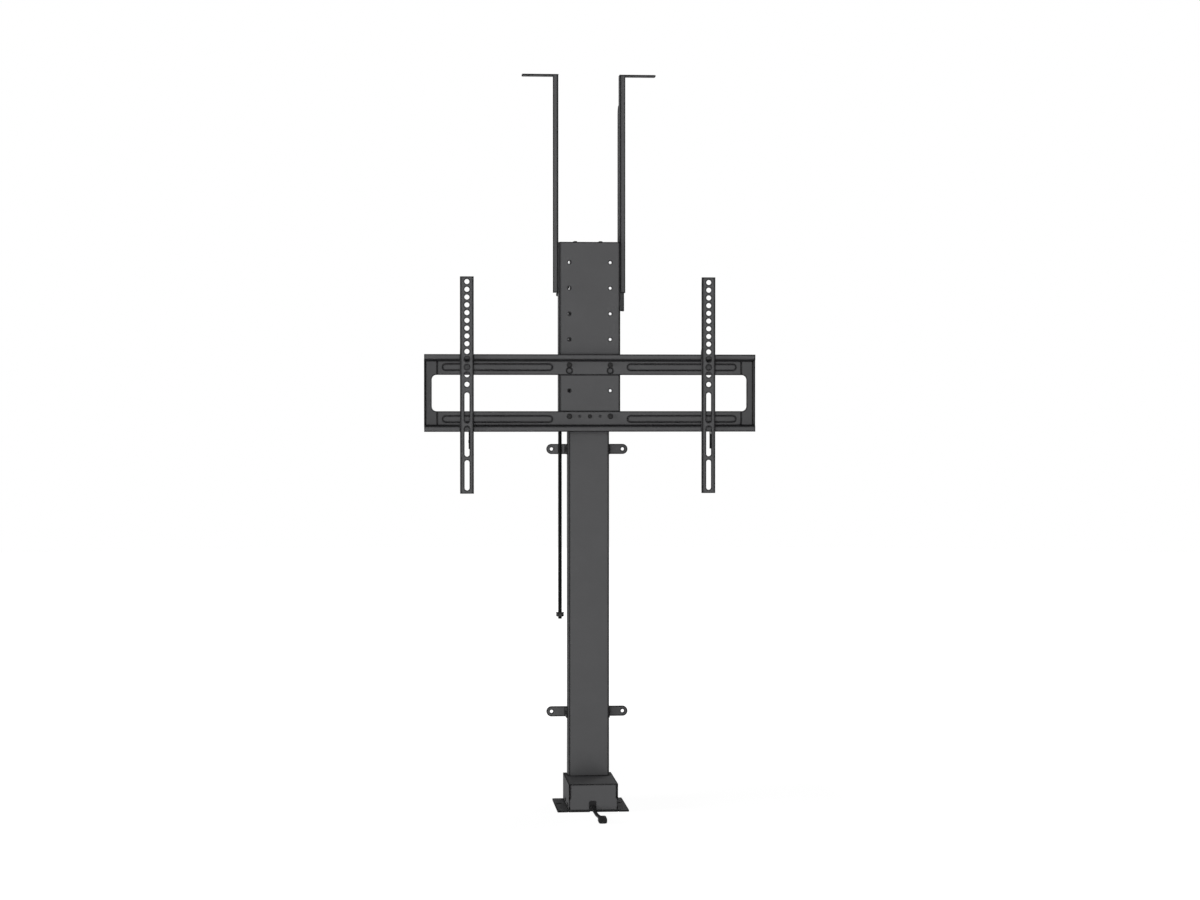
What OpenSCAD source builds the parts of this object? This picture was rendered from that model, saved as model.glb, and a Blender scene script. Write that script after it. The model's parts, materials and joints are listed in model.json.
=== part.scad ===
// Television lift: a three-stage telescopic column on a motor base.
// The inner stage carries a sleeve plate, a crossbar with two screen arms,
// two lid brackets, a cable duct and a travel stop rod.
// X is right, Y is away from the viewer, Z is up. The origin is on the floor
// on the column's axis. The lift is drawn part way up.

/* [Column tubes] */
// Width of the outer tube
outer_w = 80; // [76:1:88]
// Depth of the outer tube
outer_d = 50; // [46:1:56]
// Wall of the three tubes
tube_wall = 1.5; // [1.2:0.1:2]
// Outside corner radius of the tubes
tube_corner = 3; // [2.5:0.5:5]
// Gap on each side between one tube and the next
stage_gap = 1; // [0.8:0.1:1.4]
// Height of the outer tube's top end
outer_top = 842; // [800:1:846]
// Height of the middle tube's bottom end
mid_bottom = 195; // [185:1:240]
// Height of the middle tube's top end
mid_top = 968; // [962:1:1010]
// Height of the inner tube's bottom end
inner_bottom = 345; // [330:1:400]
// Height of the inner tube's top end
inner_top = 1098; // [1092:1:1140]

/* [Collars and glides] */
// Height of a collar's lip above its tube
collar_lip = 4; // [3:0.5:5]
// Depth of a collar's skirt inside its tube
collar_skirt = 30; // [20:1:45]
// Play between a sliding face and its track
slide_clear = 0.2; // [0.15:0.05:0.3]
// Height of a glide pad
glide_len = 30; // [20:1:40]
// Width of the glide pads on the wide faces
glide_wide = 40; // [20:1:50]
// Width of the glide pads on the narrow faces
glide_narrow = 24; // [12:1:30]

/* [Base] */
// Width of the floor plate
plate_w = 138; // [130:1:160]
// Reach of the floor plate in front of the column's axis
plate_front = 135; // [128:1:150]
// Thickness of the floor plate
plate_t = 3; // [2.5:0.5:5]
// Corner radius of the floor plate
plate_corner = 3; // [1:0.5:8]
// Spacing of the two floor screw holes
floor_hole_spacing = 119; // [114:1:124]
// Distance of the floor screw holes in front of the axis
floor_hole_front = 42; // [20:1:90]
// Radius of a floor screw hole
floor_hole_r = 4.5; // [3:0.25:5]
// Width of the base cover
cover_w = 95; // [90:0.5:98]
// Height of the cover above the floor plate
cover_h = 51; // [51:1:70]
// Thickness of the cover's sheet
cover_t = 1.5; // [1:0.1:2]
// Gap round the column in the cover's top
cover_gap = 0.5; // [0.3:0.1:1]
// Width of the notch for the lead
notch_w = 11; // [9:0.5:14]
// Height of the notch for the lead
notch_h = 17; // [14:0.5:22]
// Depth of the lead's notch in the floor plate's front edge
floor_notch = 8; // [5:0.5:9]
// Width of a bend relief in the floor plate's front edge
foot_slot_w = 2; // [1.5:0.1:3]
// Depth of a bend relief in the floor plate's front edge
foot_slot = 4; // [2:0.5:6]
// Size of a relief cut at the cover's front corners
relief = 3; // [2:0.5:4]
// Height of the lower relief cut above the plate
relief_low = 4; // [2:0.5:8]
// Height of the upper relief cut above the plate
relief_high = 23; // [16:0.5:32]
// Width of the slit above the upper relief cut
slit_w = 1.2; // [0.8:0.1:2]

/* [Gearbox and motor] */
// Outside radius of the worm wheel
wheel_r = 14.5; // [13:0.5:15]
// Thickness of the worm wheel
wheel_h = 12; // [8:1:14]
// Number of teeth on the worm wheel
wheel_teeth = 24; // [18:1:30]
// Depth of a tooth
tooth_depth = 1.6; // [1:0.1:2]
// Outside radius of the worm
worm_r = 5.2; // [4.5:0.1:5.5]
// Length of the worm
worm_len = 24; // [16:1:26]
// Gap between the worm and the wheel
worm_gap = 0.3; // [0.2:0.05:0.5]
// Radius of the worm's journals
journal_r = 3; // [2:0.25:3.5]
// Height of the worm's axis above the floor plate
gear_rise = 23; // [22.5:0.5:23]
// Reach of the gearbox in front of the column's axis
gearbox_front = 34; // [32:1:38]
// Wall of the gearbox round the wheel
gearbox_wall = 5.5; // [4.5:0.5:6]
// Radius of the motor's can
motor_r = 21; // [18:0.5:21.5]
// Length of the motor's can
motor_len = 70; // [55:1:80]
// Thickness of the motor's end cap
motor_cap = 8; // [5:1:10]

/* [Lift screws] */
// Outside radius of the drive screw
screw_r = 7; // [6:0.25:7.5]
// Radius of the drive screw's foot journal
foot_r = 5; // [4:0.25:5.5]
// Height of the drive screw's top end
screw_top = 420; // [400:1:440]
// Outside radius of the hollow screw
hollow_r = 13; // [12.5:0.25:14]
// Bore radius of the hollow screw
hollow_bore = 8.5; // [8:0.25:9]
// Height of a nut block
nut_h = 15; // [12:1:20]
// Length of the hollow screw
hollow_len = 350; // [330:1:380]
// Running clearance on the screws and shafts
run_clear = 0.1; // [0.05:0.01:0.1]
// Thickness of the hollow screw's thrust washer
washer_t = 2; // [1.5:0.5:3]
// Width of a driving key
key_w = 4; // [3:0.5:5]
// Height of a driving key above the bore
key_h = 1.8; // [1:0.1:2.5]

/* [Sleeve plate] */
// Width of the sleeve
sleeve_w = 120; // [116:1:130]
// Height of the sleeve
sleeve_h = 365; // [355:1:380]
// Thickness of the sleeve's sheet
sleeve_t = 3; // [2.5:0.5:4]
// Depth of the sleeve's sides
sleeve_side = 41; // [38:1:44]
// Gap between the column's front and the sleeve
sleeve_gap = 20; // [16:1:24]
// Distance of each column of holes from the middle
hole_x = 40; // [36:1:44]
// Distance of the first row of holes below the top
hole_first = 40; // [35:1:45]
// Pitch of the rows of holes
hole_pitch = 50; // [45:1:51]
// Radius of a sleeve hole
hole_r = 2.75; // [2.7:0.05:3]
// Distance of each top bolt from the middle
top_bolt_x = 25; // [18:1:27]

/* [Crossbar] */
// Overall width of the crossbar
bar_w = 646; // [625:1:700]
// Height of a rail's web
web_h = 30.5; // [28:0.5:34]
// Height of a rail's lip beyond its ledge
lip_h = 9.5; // [8:0.5:13]
// Thickness of the crossbar's sheet
bar_t = 2.5; // [2:0.1:3]
// Depth of a rail from its back to its lip's front
bar_depth = 20.5; // [16:0.5:26]
// Width of an end plate where it meets the rails
end_w = 25.5; // [22:0.5:34]
// Width of an end plate beside the window
end_side = 15; // [10:0.5:18]
// Radius of the window's corners
window_r = 9; // [5:0.5:10]
// Distance from the upper bolts to the upper web's top edge
upper_bolt_edge = 11; // [9:0.5:13]
// Distance from the lower bolts to the lower web's bottom edge
lower_bolt_edge = 20.5; // [18:0.5:22]
// Distance from the middle to a bead's inner end
bead_inner = 73.5; // [65:0.5:90]
// Distance from the middle to a bead's outer end
bead_outer = 287; // [240:0.5:290]
// Width of a bead
bead_w = 12; // [10:0.5:15]
// Height of a bead above the web
bead_h = 1.5; // [1:0.1:2]
// Radius of a hanging hole under an upper bolt
hang_r = 5.5; // [5:0.25:6]
// Drop of a hanging hole below its bolt
hang_drop = 11; // [9:0.5:12]

/* [Screen arms] */
// Width of an arm
arm_w = 26.5; // [24:0.5:30]
// Length of an arm
arm_len = 420; // [410:1:460]
// Thickness of an arm's sheet
arm_t = 2; // [1.5:0.1:2.5]
// Depth of an arm's sides
arm_side = 9; // [8:0.5:14]
// Height of the arm's top above the crossbar
arm_above = 150; // [140:1:160]
// Place of the left arm from the middle
left_arm_x = 240.5; // [100:0.5:290]
// Place of the right arm from the middle
right_arm_x = 230; // [100:0.5:290]
// Play between an arm and the crossbar
arm_play = 0.3; // [0.3:0.1:0.8]
// Radius of an arm's round holes
arm_hole_r = 4.85; // [4:0.05:5]
// Pitch of an arm's round holes
arm_pitch = 15; // [14:0.5:15]
// Number of round holes at the top of an arm
arm_holes = 13; // [9:1:13]
// Distance of the first hole from the arm's top
arm_first = 10; // [8:0.5:12]
// Distance of the last round hole from the arm's top
arm_lone = 208.5; // [206:0.5:212]
// Distance of the first slot's middle from the arm's top
slot_first = 253.5; // [250:0.5:256]
// Pitch of the slots
slot_pitch = 65.5; // [63:0.5:66]
// Length of a slot
slot_len = 58.5; // [50:0.5:60]
// Width of a slot
slot_w = 9.5; // [8:0.1:10]
// Thickness of a lock plate
lock_t = 2; // [1.5:0.1:2.5]
// Height of a lock plate
lock_h = 29; // [24:0.5:32]
// Gap between a lock plate and the lip above it
lock_drop = 4; // [3:0.5:6]

/* [Lid brackets] */
// Height of a lid bracket
lid_h = 426.5; // [400:0.5:480]
// Height of the lid bracket's foot above the sleeve's bottom
lid_foot = 266.5; // [258:0.5:276]
// Thickness of a lid bracket's sheet
lid_t = 2.5; // [2:0.1:3]
// Width of a lid bracket's front flange
lid_flange = 11; // [8:0.5:14]
// Depth of a lid bracket
lid_depth = 25; // [22:0.5:28]
// Length of the tab under the lid
lid_tab = 71; // [60:1:90]
// Radius of a lid screw hole
lid_hole_r = 2.5; // [2:0.25:3]
// Distance from the tab's end to its outer hole
lid_hole_edge = 12; // [8:1:16]
// Spacing of the tab's two holes
lid_hole_pitch = 34; // [24:1:36]

/* [Cable duct] */
// Width of the duct
duct_w = 11; // [10:0.5:14]
// Depth of the duct
duct_d = 23; // [20:0.5:26]
// Height of the duct
duct_h = 404; // [370:1:420]
// Drop of the duct's foot below the lid bracket's foot
duct_drop = 34.5; // [25:0.5:40]
// Wall of the duct
duct_t = 1.5; // [1:0.1:2]
// Radius of the duct's rear top corner
duct_round = 16; // [8:1:18]

/* [Stop rod] */
// Radius of the stop rod
rod_r = 4; // [3:0.25:4.5]
// Distance of the stop rod left of the middle
rod_x = 54.5; // [53:0.5:56]
// Distance of the stop rod behind the axis
rod_y = 10; // [8:0.5:11]
// Height of the stop rod's bottom end
rod_bottom = 361; // [330:1:400]
// Height of the rod's end below its nut
rod_end = 4.5; // [3:0.5:8]
// Drop of the rod hanger's shelf below the sleeve's top
hanger_drop = 91; // [90:1:104]
// Height of the guide eye above the floor
eye_z = 742; // [735:1:745]
// Play of the rod in its guide eye
eye_play = 0.6; // [0.4:0.1:1]

/* [Wall ears] */
// Height of the lower pair of ears
ear_low = 176; // [150:1:220]
// Height of the upper pair of ears above the lower pair
ear_rise = 520; // [480:1:524]
// Distance of an ear's hole from the middle
ear_hole_x = 70.5; // [66:0.5:76]
// Half the height of an ear, and the radius of its end
ear_r = 10; // [8:0.5:11]
// Radius of an ear's hole
ear_hole_r = 3.25; // [2.5:0.25:4]
// Thickness of an ear
ear_t = 3; // [2:0.5:3]
// Length of an ear's foot along the column
ear_foot = 30; // [26:1:34]

/* [Lead] */
// Radius of the lead
lead_r = 3.5; // [3:0.25:4]
// Width of the lead's connector
plug_w = 16; // [15:0.5:20]
// Length of the lead's connector
plug_len = 28; // [20:1:40]
// Length of the contact pin on the connector
pin_len = 10; // [6:1:14]

/* [Hidden] */
$fn = 48;
bend_steps = 5;
bend = 1;
fit = 0.05;
cut = 1;

mid_w = outer_w - 2 * (tube_wall + stage_gap);
mid_d = outer_d - 2 * (tube_wall + stage_gap);
inner_w = mid_w - 2 * (tube_wall + stage_gap);
inner_d = mid_d - 2 * (tube_wall + stage_gap);
back_y = outer_d / 2;
pad_t = stage_gap - slide_clear;

sleeve_top = inner_top + sleeve_t;
sleeve_bottom = sleeve_top - sleeve_h;
sleeve_back = -(outer_d / 2 + sleeve_gap);
sleeve_front = sleeve_back - sleeve_t;
sleeve_edge = sleeve_front + sleeve_side;
top_row = sleeve_top - hole_first;
hole_rows = 7;
upper_bolt_row = 4;
lower_bolt_row = 6;
upper_bolt_z = top_row - upper_bolt_row * hole_pitch;
lower_bolt_z = top_row - lower_bolt_row * hole_pitch;

upper_edge = upper_bolt_z + upper_bolt_edge;
lower_edge = lower_bolt_z - lower_bolt_edge;
bar_top = upper_edge + lip_h;
bar_bottom = lower_edge - lip_h;
bar_front = sleeve_front - bar_depth;
web_front = sleeve_front - bar_t;
window_top = upper_edge - web_h;
window_bottom = lower_edge + web_h;
bar_bend = bar_t + bend;
dimple = 0.6;

arm_back = bar_front - arm_play;
arm_front = arm_back - arm_side;
arm_top = bar_top + arm_above;
arm_bend = arm_t + bend;
hook_t = 5;
hook_d = 6;
hook_rest = 2;
cheek_rise = 6;
cheek_taper = 12;
cheek_step = 2;
lock_top = bar_bottom - lock_drop;
lock_z = lock_top - lock_h;
lock_inset = 1.25;
lock_x = slot_w / 2 - lock_inset;
lock_finger = 4;
lock_pin_r = 2;
lock_pin_z = lock_z + lock_h / 2;
lock_collar_r = lock_pin_r + 1;
lock_gap = 0.8;
lock_y = arm_front + arm_t + lock_collar_r + lock_gap;
finger_gap = 1.5;

lid_bottom = sleeve_bottom + lid_foot;
lid_top = lid_bottom + lid_h;
lid_x = sleeve_w / 2;
lid_back = sleeve_edge;
lid_front = lid_back - lid_depth;
lid_bend = lid_t + bend;
lid_tab_end = lid_x + lid_tab;
lid_bolt_y = lid_back - lid_depth / 2;
lid_bolt_low = 22.5;
lid_bolt_pitch = 55;
lid_hole_y = lid_front + lid_depth / 2;

duct_bottom = lid_bottom - duct_drop;
duct_front = sleeve_edge;
duct_lug_h = 18;
duct_lug_low = 17;
duct_lug_pitch = 60;
duct_lug_reach = 20;
duct_lug_gap = 0.3;
duct_screw_edge = 6;
duct_screw_y = duct_front - duct_lug_reach + duct_screw_edge;

m8_across = 13;
m8_nut_r = m8_across / 2 / cos(30);
m8_nut_h = 6.5;
m8_washer_r = 8;
m8_washer_h = 1.6;
hanger_t = 4;
hanger_z = sleeve_top - hanger_drop;
hanger_side = 3;
hanger_tab = 10;
eye_t = 4;
eye_foot = 3;
eye_rise = 22;
eye_rim = 4;
eye_screw_drop = 7;
eye_screw_z = eye_z + eye_rise - eye_screw_drop;
rod_proud = 3;
rod_top = hanger_z + hanger_t + m8_nut_h + rod_proud;

gear_z = plate_t + gear_rise;
worm_x = wheel_r + worm_r + worm_gap;
left_extra = 2;
worm_side = 8.8;
gearbox_left = -(wheel_r + gearbox_wall + left_extra);
gearbox_right = worm_x + worm_r + worm_side;
gearbox_back = wheel_r + gearbox_wall;
gearbox_top = gear_z + gear_rise;
gear_room = 0.7;
boss_inset = 4.5;
boss_shift = 0.5;
screw_room = 0.5;
pocket_floor = 3;
bearing_r = 13;
bearing_h = 8;
m5_r = 2.5;
m5_clear = 0.2;
m5_head_r = 4.2;
m5_head_h = 3;
m5_floor = 8;
m5_room = 2;
journal_pocket = 12;
journal_room = 2;
cap_step = 1;
hub_r = 7;
hub_h = 4;
washer_rim = 3;
tongue_extra = 2;
window_room = 1;
boss_xs = [gearbox_left + boss_inset, gearbox_right - boss_inset];
boss_ys = [-gearbox_front + boss_inset + boss_shift, gearbox_back - boss_inset - boss_shift];

hollow_bottom = mid_bottom + nut_h + washer_t;
hollow_top = hollow_bottom + hollow_len;
spline_h = 20;
mid_in_w = mid_w - 2 * tube_wall;
mid_in_d = mid_d - 2 * tube_wall;
inner_in_w = inner_w - 2 * tube_wall;
inner_in_d = inner_d - 2 * tube_wall;
outer_in_w = outer_w - 2 * tube_wall;
outer_in_d = outer_d - 2 * tube_wall;
inner_cap_h = 6;
bolt_r = 2.6;
bolt_head_r = 4.1;
bolt_head_h = 3.5;
bolt_socket_r = 2.3;
top_head_r = 5.2;
top_head_h = 4.5;
small_head_r = 3.5;
small_head_h = 2;
small_r = 2;
small_clear = 0.2;
ear_screw_first = 9;
ear_screw_pitch = 12;
ear_head_h = 1.4;
ear_head_r = 4;
cover_screw_z = 9;
cover_tab_w = 18;
cover_tab_h = 14;
cover_tab_t = 2;
cover_tab_front = 110;
cover_tab_back = 48;
cover_in = cover_w / 2 - cover_t;
cover_top = plate_t + cover_h;

relief_len = 20;
relief_end_r = 4.2;
bush_r = 5.2;
bush_lip = 2;
bush_in = 3;
lead_x = -1.5;
lead_z = plate_t + bush_r + 0.3;
lead_sides = 12;
plug_back = 246;
pin_r = 1.75;
plug_corner = 3;
lead_points = [
    [-1.5, -155, 8.5], [-1.5, -161, 8.5], [-1.3, -167, 8.2], [-0.8, -173, 7.4],
    [-0.1, -179, 6.4], [0.6, -185, 5.3], [1.4, -191, 4.4], [2.2, -197, 3.8],
    [3, -203, 3.6], [3.8, -209, 3.6], [4.5, -215, 3.7], [5.1, -221, 4],
    [5.7, -227, 4.6], [6.1, -233, 5.3], [6.4, -239, 5.8], [6.5, -243, 6], [6.5, -246, 6]
];
plug_h = 12;
plug_x = 6.5;
plug_z = plug_h / 2;

black_steel = "#3a3a3b";
dark_steel = "#2b2b2c";
black_plastic = "#1d1d1e";
zinc = "#9a9ca0";
bronze = "#a98148";
bright_steel = "#8d9094";

// Rounded outlines: each point is x, y and a corner radius
function unit(v) = v / norm(v);
function corner(p, q, s, r) =
    r <= 0 ? [q] :
    let (a = unit(p - q), b = unit(s - q), half = acos(a * b) / 2,
         c = q + unit(a + b) * r / sin(half), v0 = q + a * r / tan(half) - c,
         v1 = q + b * r / tan(half) - c, sweep = 180 - 2 * half)
    [for (i = [0:bend_steps])
        c + (v0 * sin((1 - i / bend_steps) * sweep) + v1 * sin(i / bend_steps * sweep)) / sin(sweep)];
function flat(p) = [p[0], p[1]];
function outline(pts) =
    let (m = len(pts))
    [for (i = [0:m - 1])
        each corner(flat(pts[(i + m - 1) % m]), flat(pts[i]), flat(pts[(i + 1) % m]), pts[i][2])];
function box_points(w, d, r) =
    [[-w / 2, -d / 2, r], [w / 2, -d / 2, r], [w / 2, d / 2, r], [-w / 2, d / 2, r]];

// Unit vectors along a route, and a ring of points square to it
function along(p, i) = unit(p[min(i + 1, len(p) - 1)] - p[max(i - 1, 0)]);
function ring(p, i, r, sides) =
    let (t = along(p, i), u = unit(cross(t, [1, 0, 0])), v = cross(t, u))
    [for (k = [0:sides - 1]) p[i] + r * (cos(360 * k / sides) * u + sin(360 * k / sides) * v)];

module swept_tube(p, r, sides) {
    n = len(p);
    rings = [for (i = [0:n - 1]) each ring(p, i, r, sides)];
    walls = [for (i = [0:n - 2]) for (k = [0:sides - 1])
        let (a = i * sides + k, b = i * sides + (k + 1) % sides)
        each [[a, b, b + sides], [a, b + sides, a + sides]]];
    first = [for (k = [1:sides - 2]) [0, k + 1, k]];
    last = [for (k = [1:sides - 2]) [0, k, k + 1] + [1, 1, 1] * (n - 1) * sides];
    polyhedron(points = rings, faces = concat(walls, first, last));
}

// A plate in the X and Z plane, drawn from x and z, with its thickness along Y
module upright(y0, t) {
    translate([0, y0 + t, 0]) rotate([90, 0, 0]) linear_extrude(t) children();
}

// A plate in the Y and Z plane, drawn from y and z, with its thickness along X
module sideways(x0, t) {
    translate([x0, 0, 0]) rotate([90, 0, 90]) linear_extrude(t) children();
}

module rounded_box(w, d, r, z0, z1) {
    translate([0, 0, z0]) linear_extrude(z1 - z0) polygon(outline(box_points(w, d, r)));
}

module tube_section(w, d, wall, r, z0, z1) {
    translate([0, 0, z0]) linear_extrude(z1 - z0) difference() {
        polygon(outline(box_points(w, d, r)));
        polygon(outline(box_points(w - 2 * wall, d - 2 * wall, r - wall)));
    }
}

// A round head over the face at z = 0, with its shank below the face
module screw(head_r, head_h, shank_r, shank_l, socket_r = 0) {
    difference() {
        union() {
            cylinder(r = head_r, h = head_h);
            translate([0, 0, -shank_l]) cylinder(r = shank_r, h = shank_l + head_h / 2);
        }
        if (socket_r > 0)
            translate([0, 0, head_h / 2]) cylinder(r = socket_r, h = head_h, $fn = 6);
    }
}

module front_hole(x, z, r, y0, y1) {
    translate([x, y1 + cut, z]) rotate([90, 0, 0]) cylinder(r = r, h = y1 - y0 + 2 * cut);
}

module side_hole(x0, x1, y, z, r) {
    translate([x0 - cut, y, z]) rotate([0, 90, 0]) cylinder(r = r, h = x1 - x0 + 2 * cut);
}

module down_hole(x, y, z0, z1, r) {
    translate([x, y, z0 - cut]) cylinder(r = r, h = z1 - z0 + 2 * cut);
}

// Base

module base_plate() {
    mid_y = (back_y - plate_front) / 2;
    color(black_steel) difference() {
        union() {
            translate([0, mid_y, 0]) rounded_box(plate_w, plate_front + back_y, plate_corner, 0, plate_t);
            for (side = [-1, 1]) for (front = [cover_tab_front, cover_tab_back])
                translate([side * (cover_in - cover_tab_t / 2), -front, plate_t + cover_tab_h / 2])
                    cube([cover_tab_t, cover_tab_w, cover_tab_h], center = true);
        }
        for (side = [-1, 1])
            down_hole(side * floor_hole_spacing / 2, -floor_hole_front, 0, plate_t, floor_hole_r);
        translate([lead_x - notch_w / 2, -plate_front - cut, -cut])
            cube([notch_w, floor_notch + cut, plate_t + 2 * cut]);
        for (side = [-1, 1])
            translate([side * (cover_w + foot_slot_w) / 2 - foot_slot_w / 2, -plate_front - cut, -cut])
                cube([foot_slot_w, foot_slot + cut, plate_t + 2 * cut]);
        for (front = [cover_tab_front, cover_tab_back])
            side_hole(-cover_in, cover_in, -front, plate_t + cover_screw_z, small_r + small_clear);
    }
}

module base_cover() {
    length = plate_front + back_y;
    mid_y = (back_y - plate_front) / 2;
    column_w = outer_w + 2 * cover_gap;
    color(black_steel) difference() {
        translate([-cover_w / 2, -plate_front, plate_t]) cube([cover_w, length, cover_top - plate_t]);
        translate([-cover_in, -plate_front + cover_t, plate_t - cut])
            cube([2 * cover_in, length, cover_top - plate_t - cover_t + cut]);
        translate([-column_w / 2, -back_y - cover_gap, plate_t])
            cube([column_w, outer_d + 2 * cover_gap + cut, cover_top]);
        translate([lead_x - notch_w / 2, -plate_front - cut, plate_t - cut])
            cube([notch_w, cover_t + 2 * cut, notch_h + cut]);
        for (front = [cover_tab_front, cover_tab_back])
            side_hole(-cover_w / 2, cover_w / 2, -front, plate_t + cover_screw_z, small_r + small_clear);
        for (side = [-1, 1]) for (rise = [relief_low, relief_high])
            translate([side * cover_w / 2 - relief / 2, -plate_front - cut, plate_t + rise - relief / 2])
                cube([relief, relief + cut, relief]);
        for (side = [-1, 1])
            translate([side * (cover_in - slit_w / 2) - slit_w / 2, -plate_front - cut, plate_t + relief_high])
                cube([slit_w, cover_t + cut + fit, cover_h - relief_high - cover_t]);
    }
}

module cover_screws() {
    color(dark_steel)
        for (side = [-1, 1]) for (front = [cover_tab_front, cover_tab_back])
            translate([side * cover_w / 2, -front, plate_t + cover_screw_z]) rotate([0, side * 90, 0])
                screw(small_head_r, small_head_h, small_r, cover_t + cover_tab_t + 1);
}

module cable_bush() {
    neck_top = plate_t + notch_h - 2 * fit;
    neck_w = notch_w - 2 * fit;
    color(black_plastic) union() {
        translate([lead_x - neck_w / 2, -plate_front, plate_t])
            cube([neck_w, cover_t, neck_top - plate_t]);
        translate([lead_x - neck_w / 2 - bush_lip, -plate_front + cover_t, plate_t])
            cube([neck_w + 2 * bush_lip, bush_in, neck_top - plate_t + bush_lip]);
        translate([lead_x, -plate_front + cover_t, lead_z]) rotate([90, 0, 0])
            cylinder(r1 = bush_r, r2 = relief_end_r, h = relief_len + cover_t);
    }
}

module gearbox_block(z0, z1) {
    translate([gearbox_left, -gearbox_front, z0])
        cube([gearbox_right - gearbox_left, gearbox_front + gearbox_back, z1 - z0]);
}

// The space inside the gearbox, shared by its two halves
module gearbox_space() {
    translate([0, 0, gear_z - wheel_h / 2 - gear_room])
        cylinder(r = wheel_r + gear_room, h = wheel_h + 2 * gear_room);
    translate([worm_x, worm_len / 2 + gear_room, gear_z]) rotate([90, 0, 0])
        cylinder(r = worm_r + gear_room, h = worm_len + 2 * gear_room);
    translate([worm_x, worm_len / 2 + pocket_floor + gear_room, gear_z]) rotate([90, 0, 0])
        cylinder(r = journal_r + run_clear, h = gearbox_front + worm_len);
    translate([0, 0, plate_t + pocket_floor])
        cylinder(r = foot_r + run_clear, h = gear_rise);
    translate([0, 0, gear_z]) cylinder(r = screw_r + screw_room, h = gear_rise + cut);
    translate([0, 0, gearbox_top - bearing_h]) cylinder(r = bearing_r + fit, h = bearing_h + cut);
    for (x = boss_xs) for (y = boss_ys)
        translate([x, y, plate_t + m5_floor]) cylinder(r = m5_r + m5_clear, h = gearbox_top);
}

module gearbox_lower() {
    color("#55575a") difference() {
        gearbox_block(plate_t, gear_z);
        gearbox_space();
    }
}

module gearbox_upper() {
    color("#606266") difference() {
        gearbox_block(gear_z, gearbox_top);
        gearbox_space();
    }
}

module gearbox_screws() {
    color(zinc) for (x = boss_xs) for (y = boss_ys)
        translate([x, y, gearbox_top])
            screw(m5_head_r, m5_head_h, m5_r, gearbox_top - plate_t - m5_floor - m5_room, bolt_socket_r);
}

module thrust_bearing() {
    color(bright_steel) difference() {
        translate([0, 0, gearbox_top - bearing_h]) cylinder(r = bearing_r, h = bearing_h);
        down_hole(0, 0, gearbox_top - bearing_h, gearbox_top, screw_r + run_clear);
    }
}

module motor_can() {
    color("#4a4b4d") difference() {
        translate([worm_x, -gearbox_front, gear_z]) rotate([90, 0, 0])
            cylinder(r = motor_r, h = motor_len);
        translate([worm_x, -gearbox_front + cut, gear_z]) rotate([90, 0, 0])
            cylinder(r = journal_r + run_clear, h = journal_pocket + cut);
    }
}

module motor_end_cap() {
    color(black_plastic) translate([worm_x, -gearbox_front - motor_len, gear_z]) rotate([90, 0, 0]) union() {
        cylinder(r = motor_r - cap_step, h = motor_cap);
        translate([0, 0, motor_cap - fit]) cylinder(r = hub_r, h = hub_h);
    }
}

module outer_column() {
    window_left = gearbox_left - window_room;
    window_right = gearbox_right + window_room;
    window_top_z = gearbox_top + m5_head_h + window_room;
    color(black_steel) difference() {
        tube_section(outer_w, outer_d, tube_wall, tube_corner, plate_t, outer_top);
        translate([window_left, -back_y - cut, plate_t - cut])
            cube([window_right - window_left, tube_wall + 2 * cut, window_top_z + cut - plate_t]);
        for (z = [ear_low, ear_low + ear_rise]) for (step = [0, 1])
            side_hole(-outer_w / 2, outer_w / 2, ear_screw_y(step), z, small_r + small_clear);
        side_hole(-outer_w / 2, 0, rod_y, eye_screw_z, small_r + small_clear);
    }
}

// A collar: a lip over the tube's end and a skirt inside it
module collar(w, d, z) {
    in_w = w - 2 * tube_wall;
    in_d = d - 2 * tube_wall;
    bore_w = in_w - 2 * pad_t;
    bore_d = in_d - 2 * pad_t;
    bore_r = tube_corner + slide_clear;
    color(black_plastic) difference() {
        union() {
            rounded_box(w, d, tube_corner, z, z + collar_lip);
            rounded_box(in_w - 2 * fit, in_d - 2 * fit, tube_corner - tube_wall, z - collar_skirt, z + fit);
        }
        rounded_box(bore_w, bore_d, bore_r, z - collar_skirt - cut, z + collar_lip + cut);
    }
}

// Four flat pads round the foot of a tube
module glides(w, d, z) {
    color("#e4e2da") for (side = [-1, 1]) {
        translate([side * (w + pad_t) / 2, 0, z + glide_len / 2])
            cube([pad_t, glide_narrow, glide_len], center = true);
        translate([0, side * (d + pad_t) / 2, z + glide_len / 2])
            cube([glide_wide, pad_t, glide_len], center = true);
    }
}

module outer_collar() { collar(outer_w, outer_d, outer_top); }
module mid_collar() { collar(mid_w, mid_d, mid_top); }
module mid_glides() { glides(mid_w, mid_d, mid_bottom); }
module inner_glides() { glides(inner_w, inner_d, inner_bottom); }

// Wall ears

function ear_screw_y(step) = back_y - ear_screw_first - step * ear_screw_pitch;

// A strap bent into an L: a foot along the column's side and an ear behind
module ear(side, z) {
    foot_x = outer_w / 2;
    color(black_steel) difference() {
        union() {
            translate([side * (foot_x + ear_t / 2), back_y - ear_foot / 2, z])
                cube([ear_t, ear_foot, 2 * ear_r], center = true);
            upright(back_y - ear_t, ear_t) {
                translate([side * (foot_x + ear_hole_x) / 2, z])
                    square([ear_hole_x - foot_x, 2 * ear_r], center = true);
                translate([side * ear_hole_x, z]) circle(r = ear_r);
            }
        }
        front_hole(side * ear_hole_x, z, ear_hole_r, back_y - ear_t, back_y);
        for (step = [0, 1])
            side_hole(-foot_x - ear_t, foot_x + ear_t, ear_screw_y(step), z, small_r + small_clear);
    }
}

module lower_left_ear() { ear(-1, ear_low); }
module lower_right_ear() { ear(1, ear_low); }
module upper_left_ear() { ear(-1, ear_low + ear_rise); }
module upper_right_ear() { ear(1, ear_low + ear_rise); }

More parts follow.
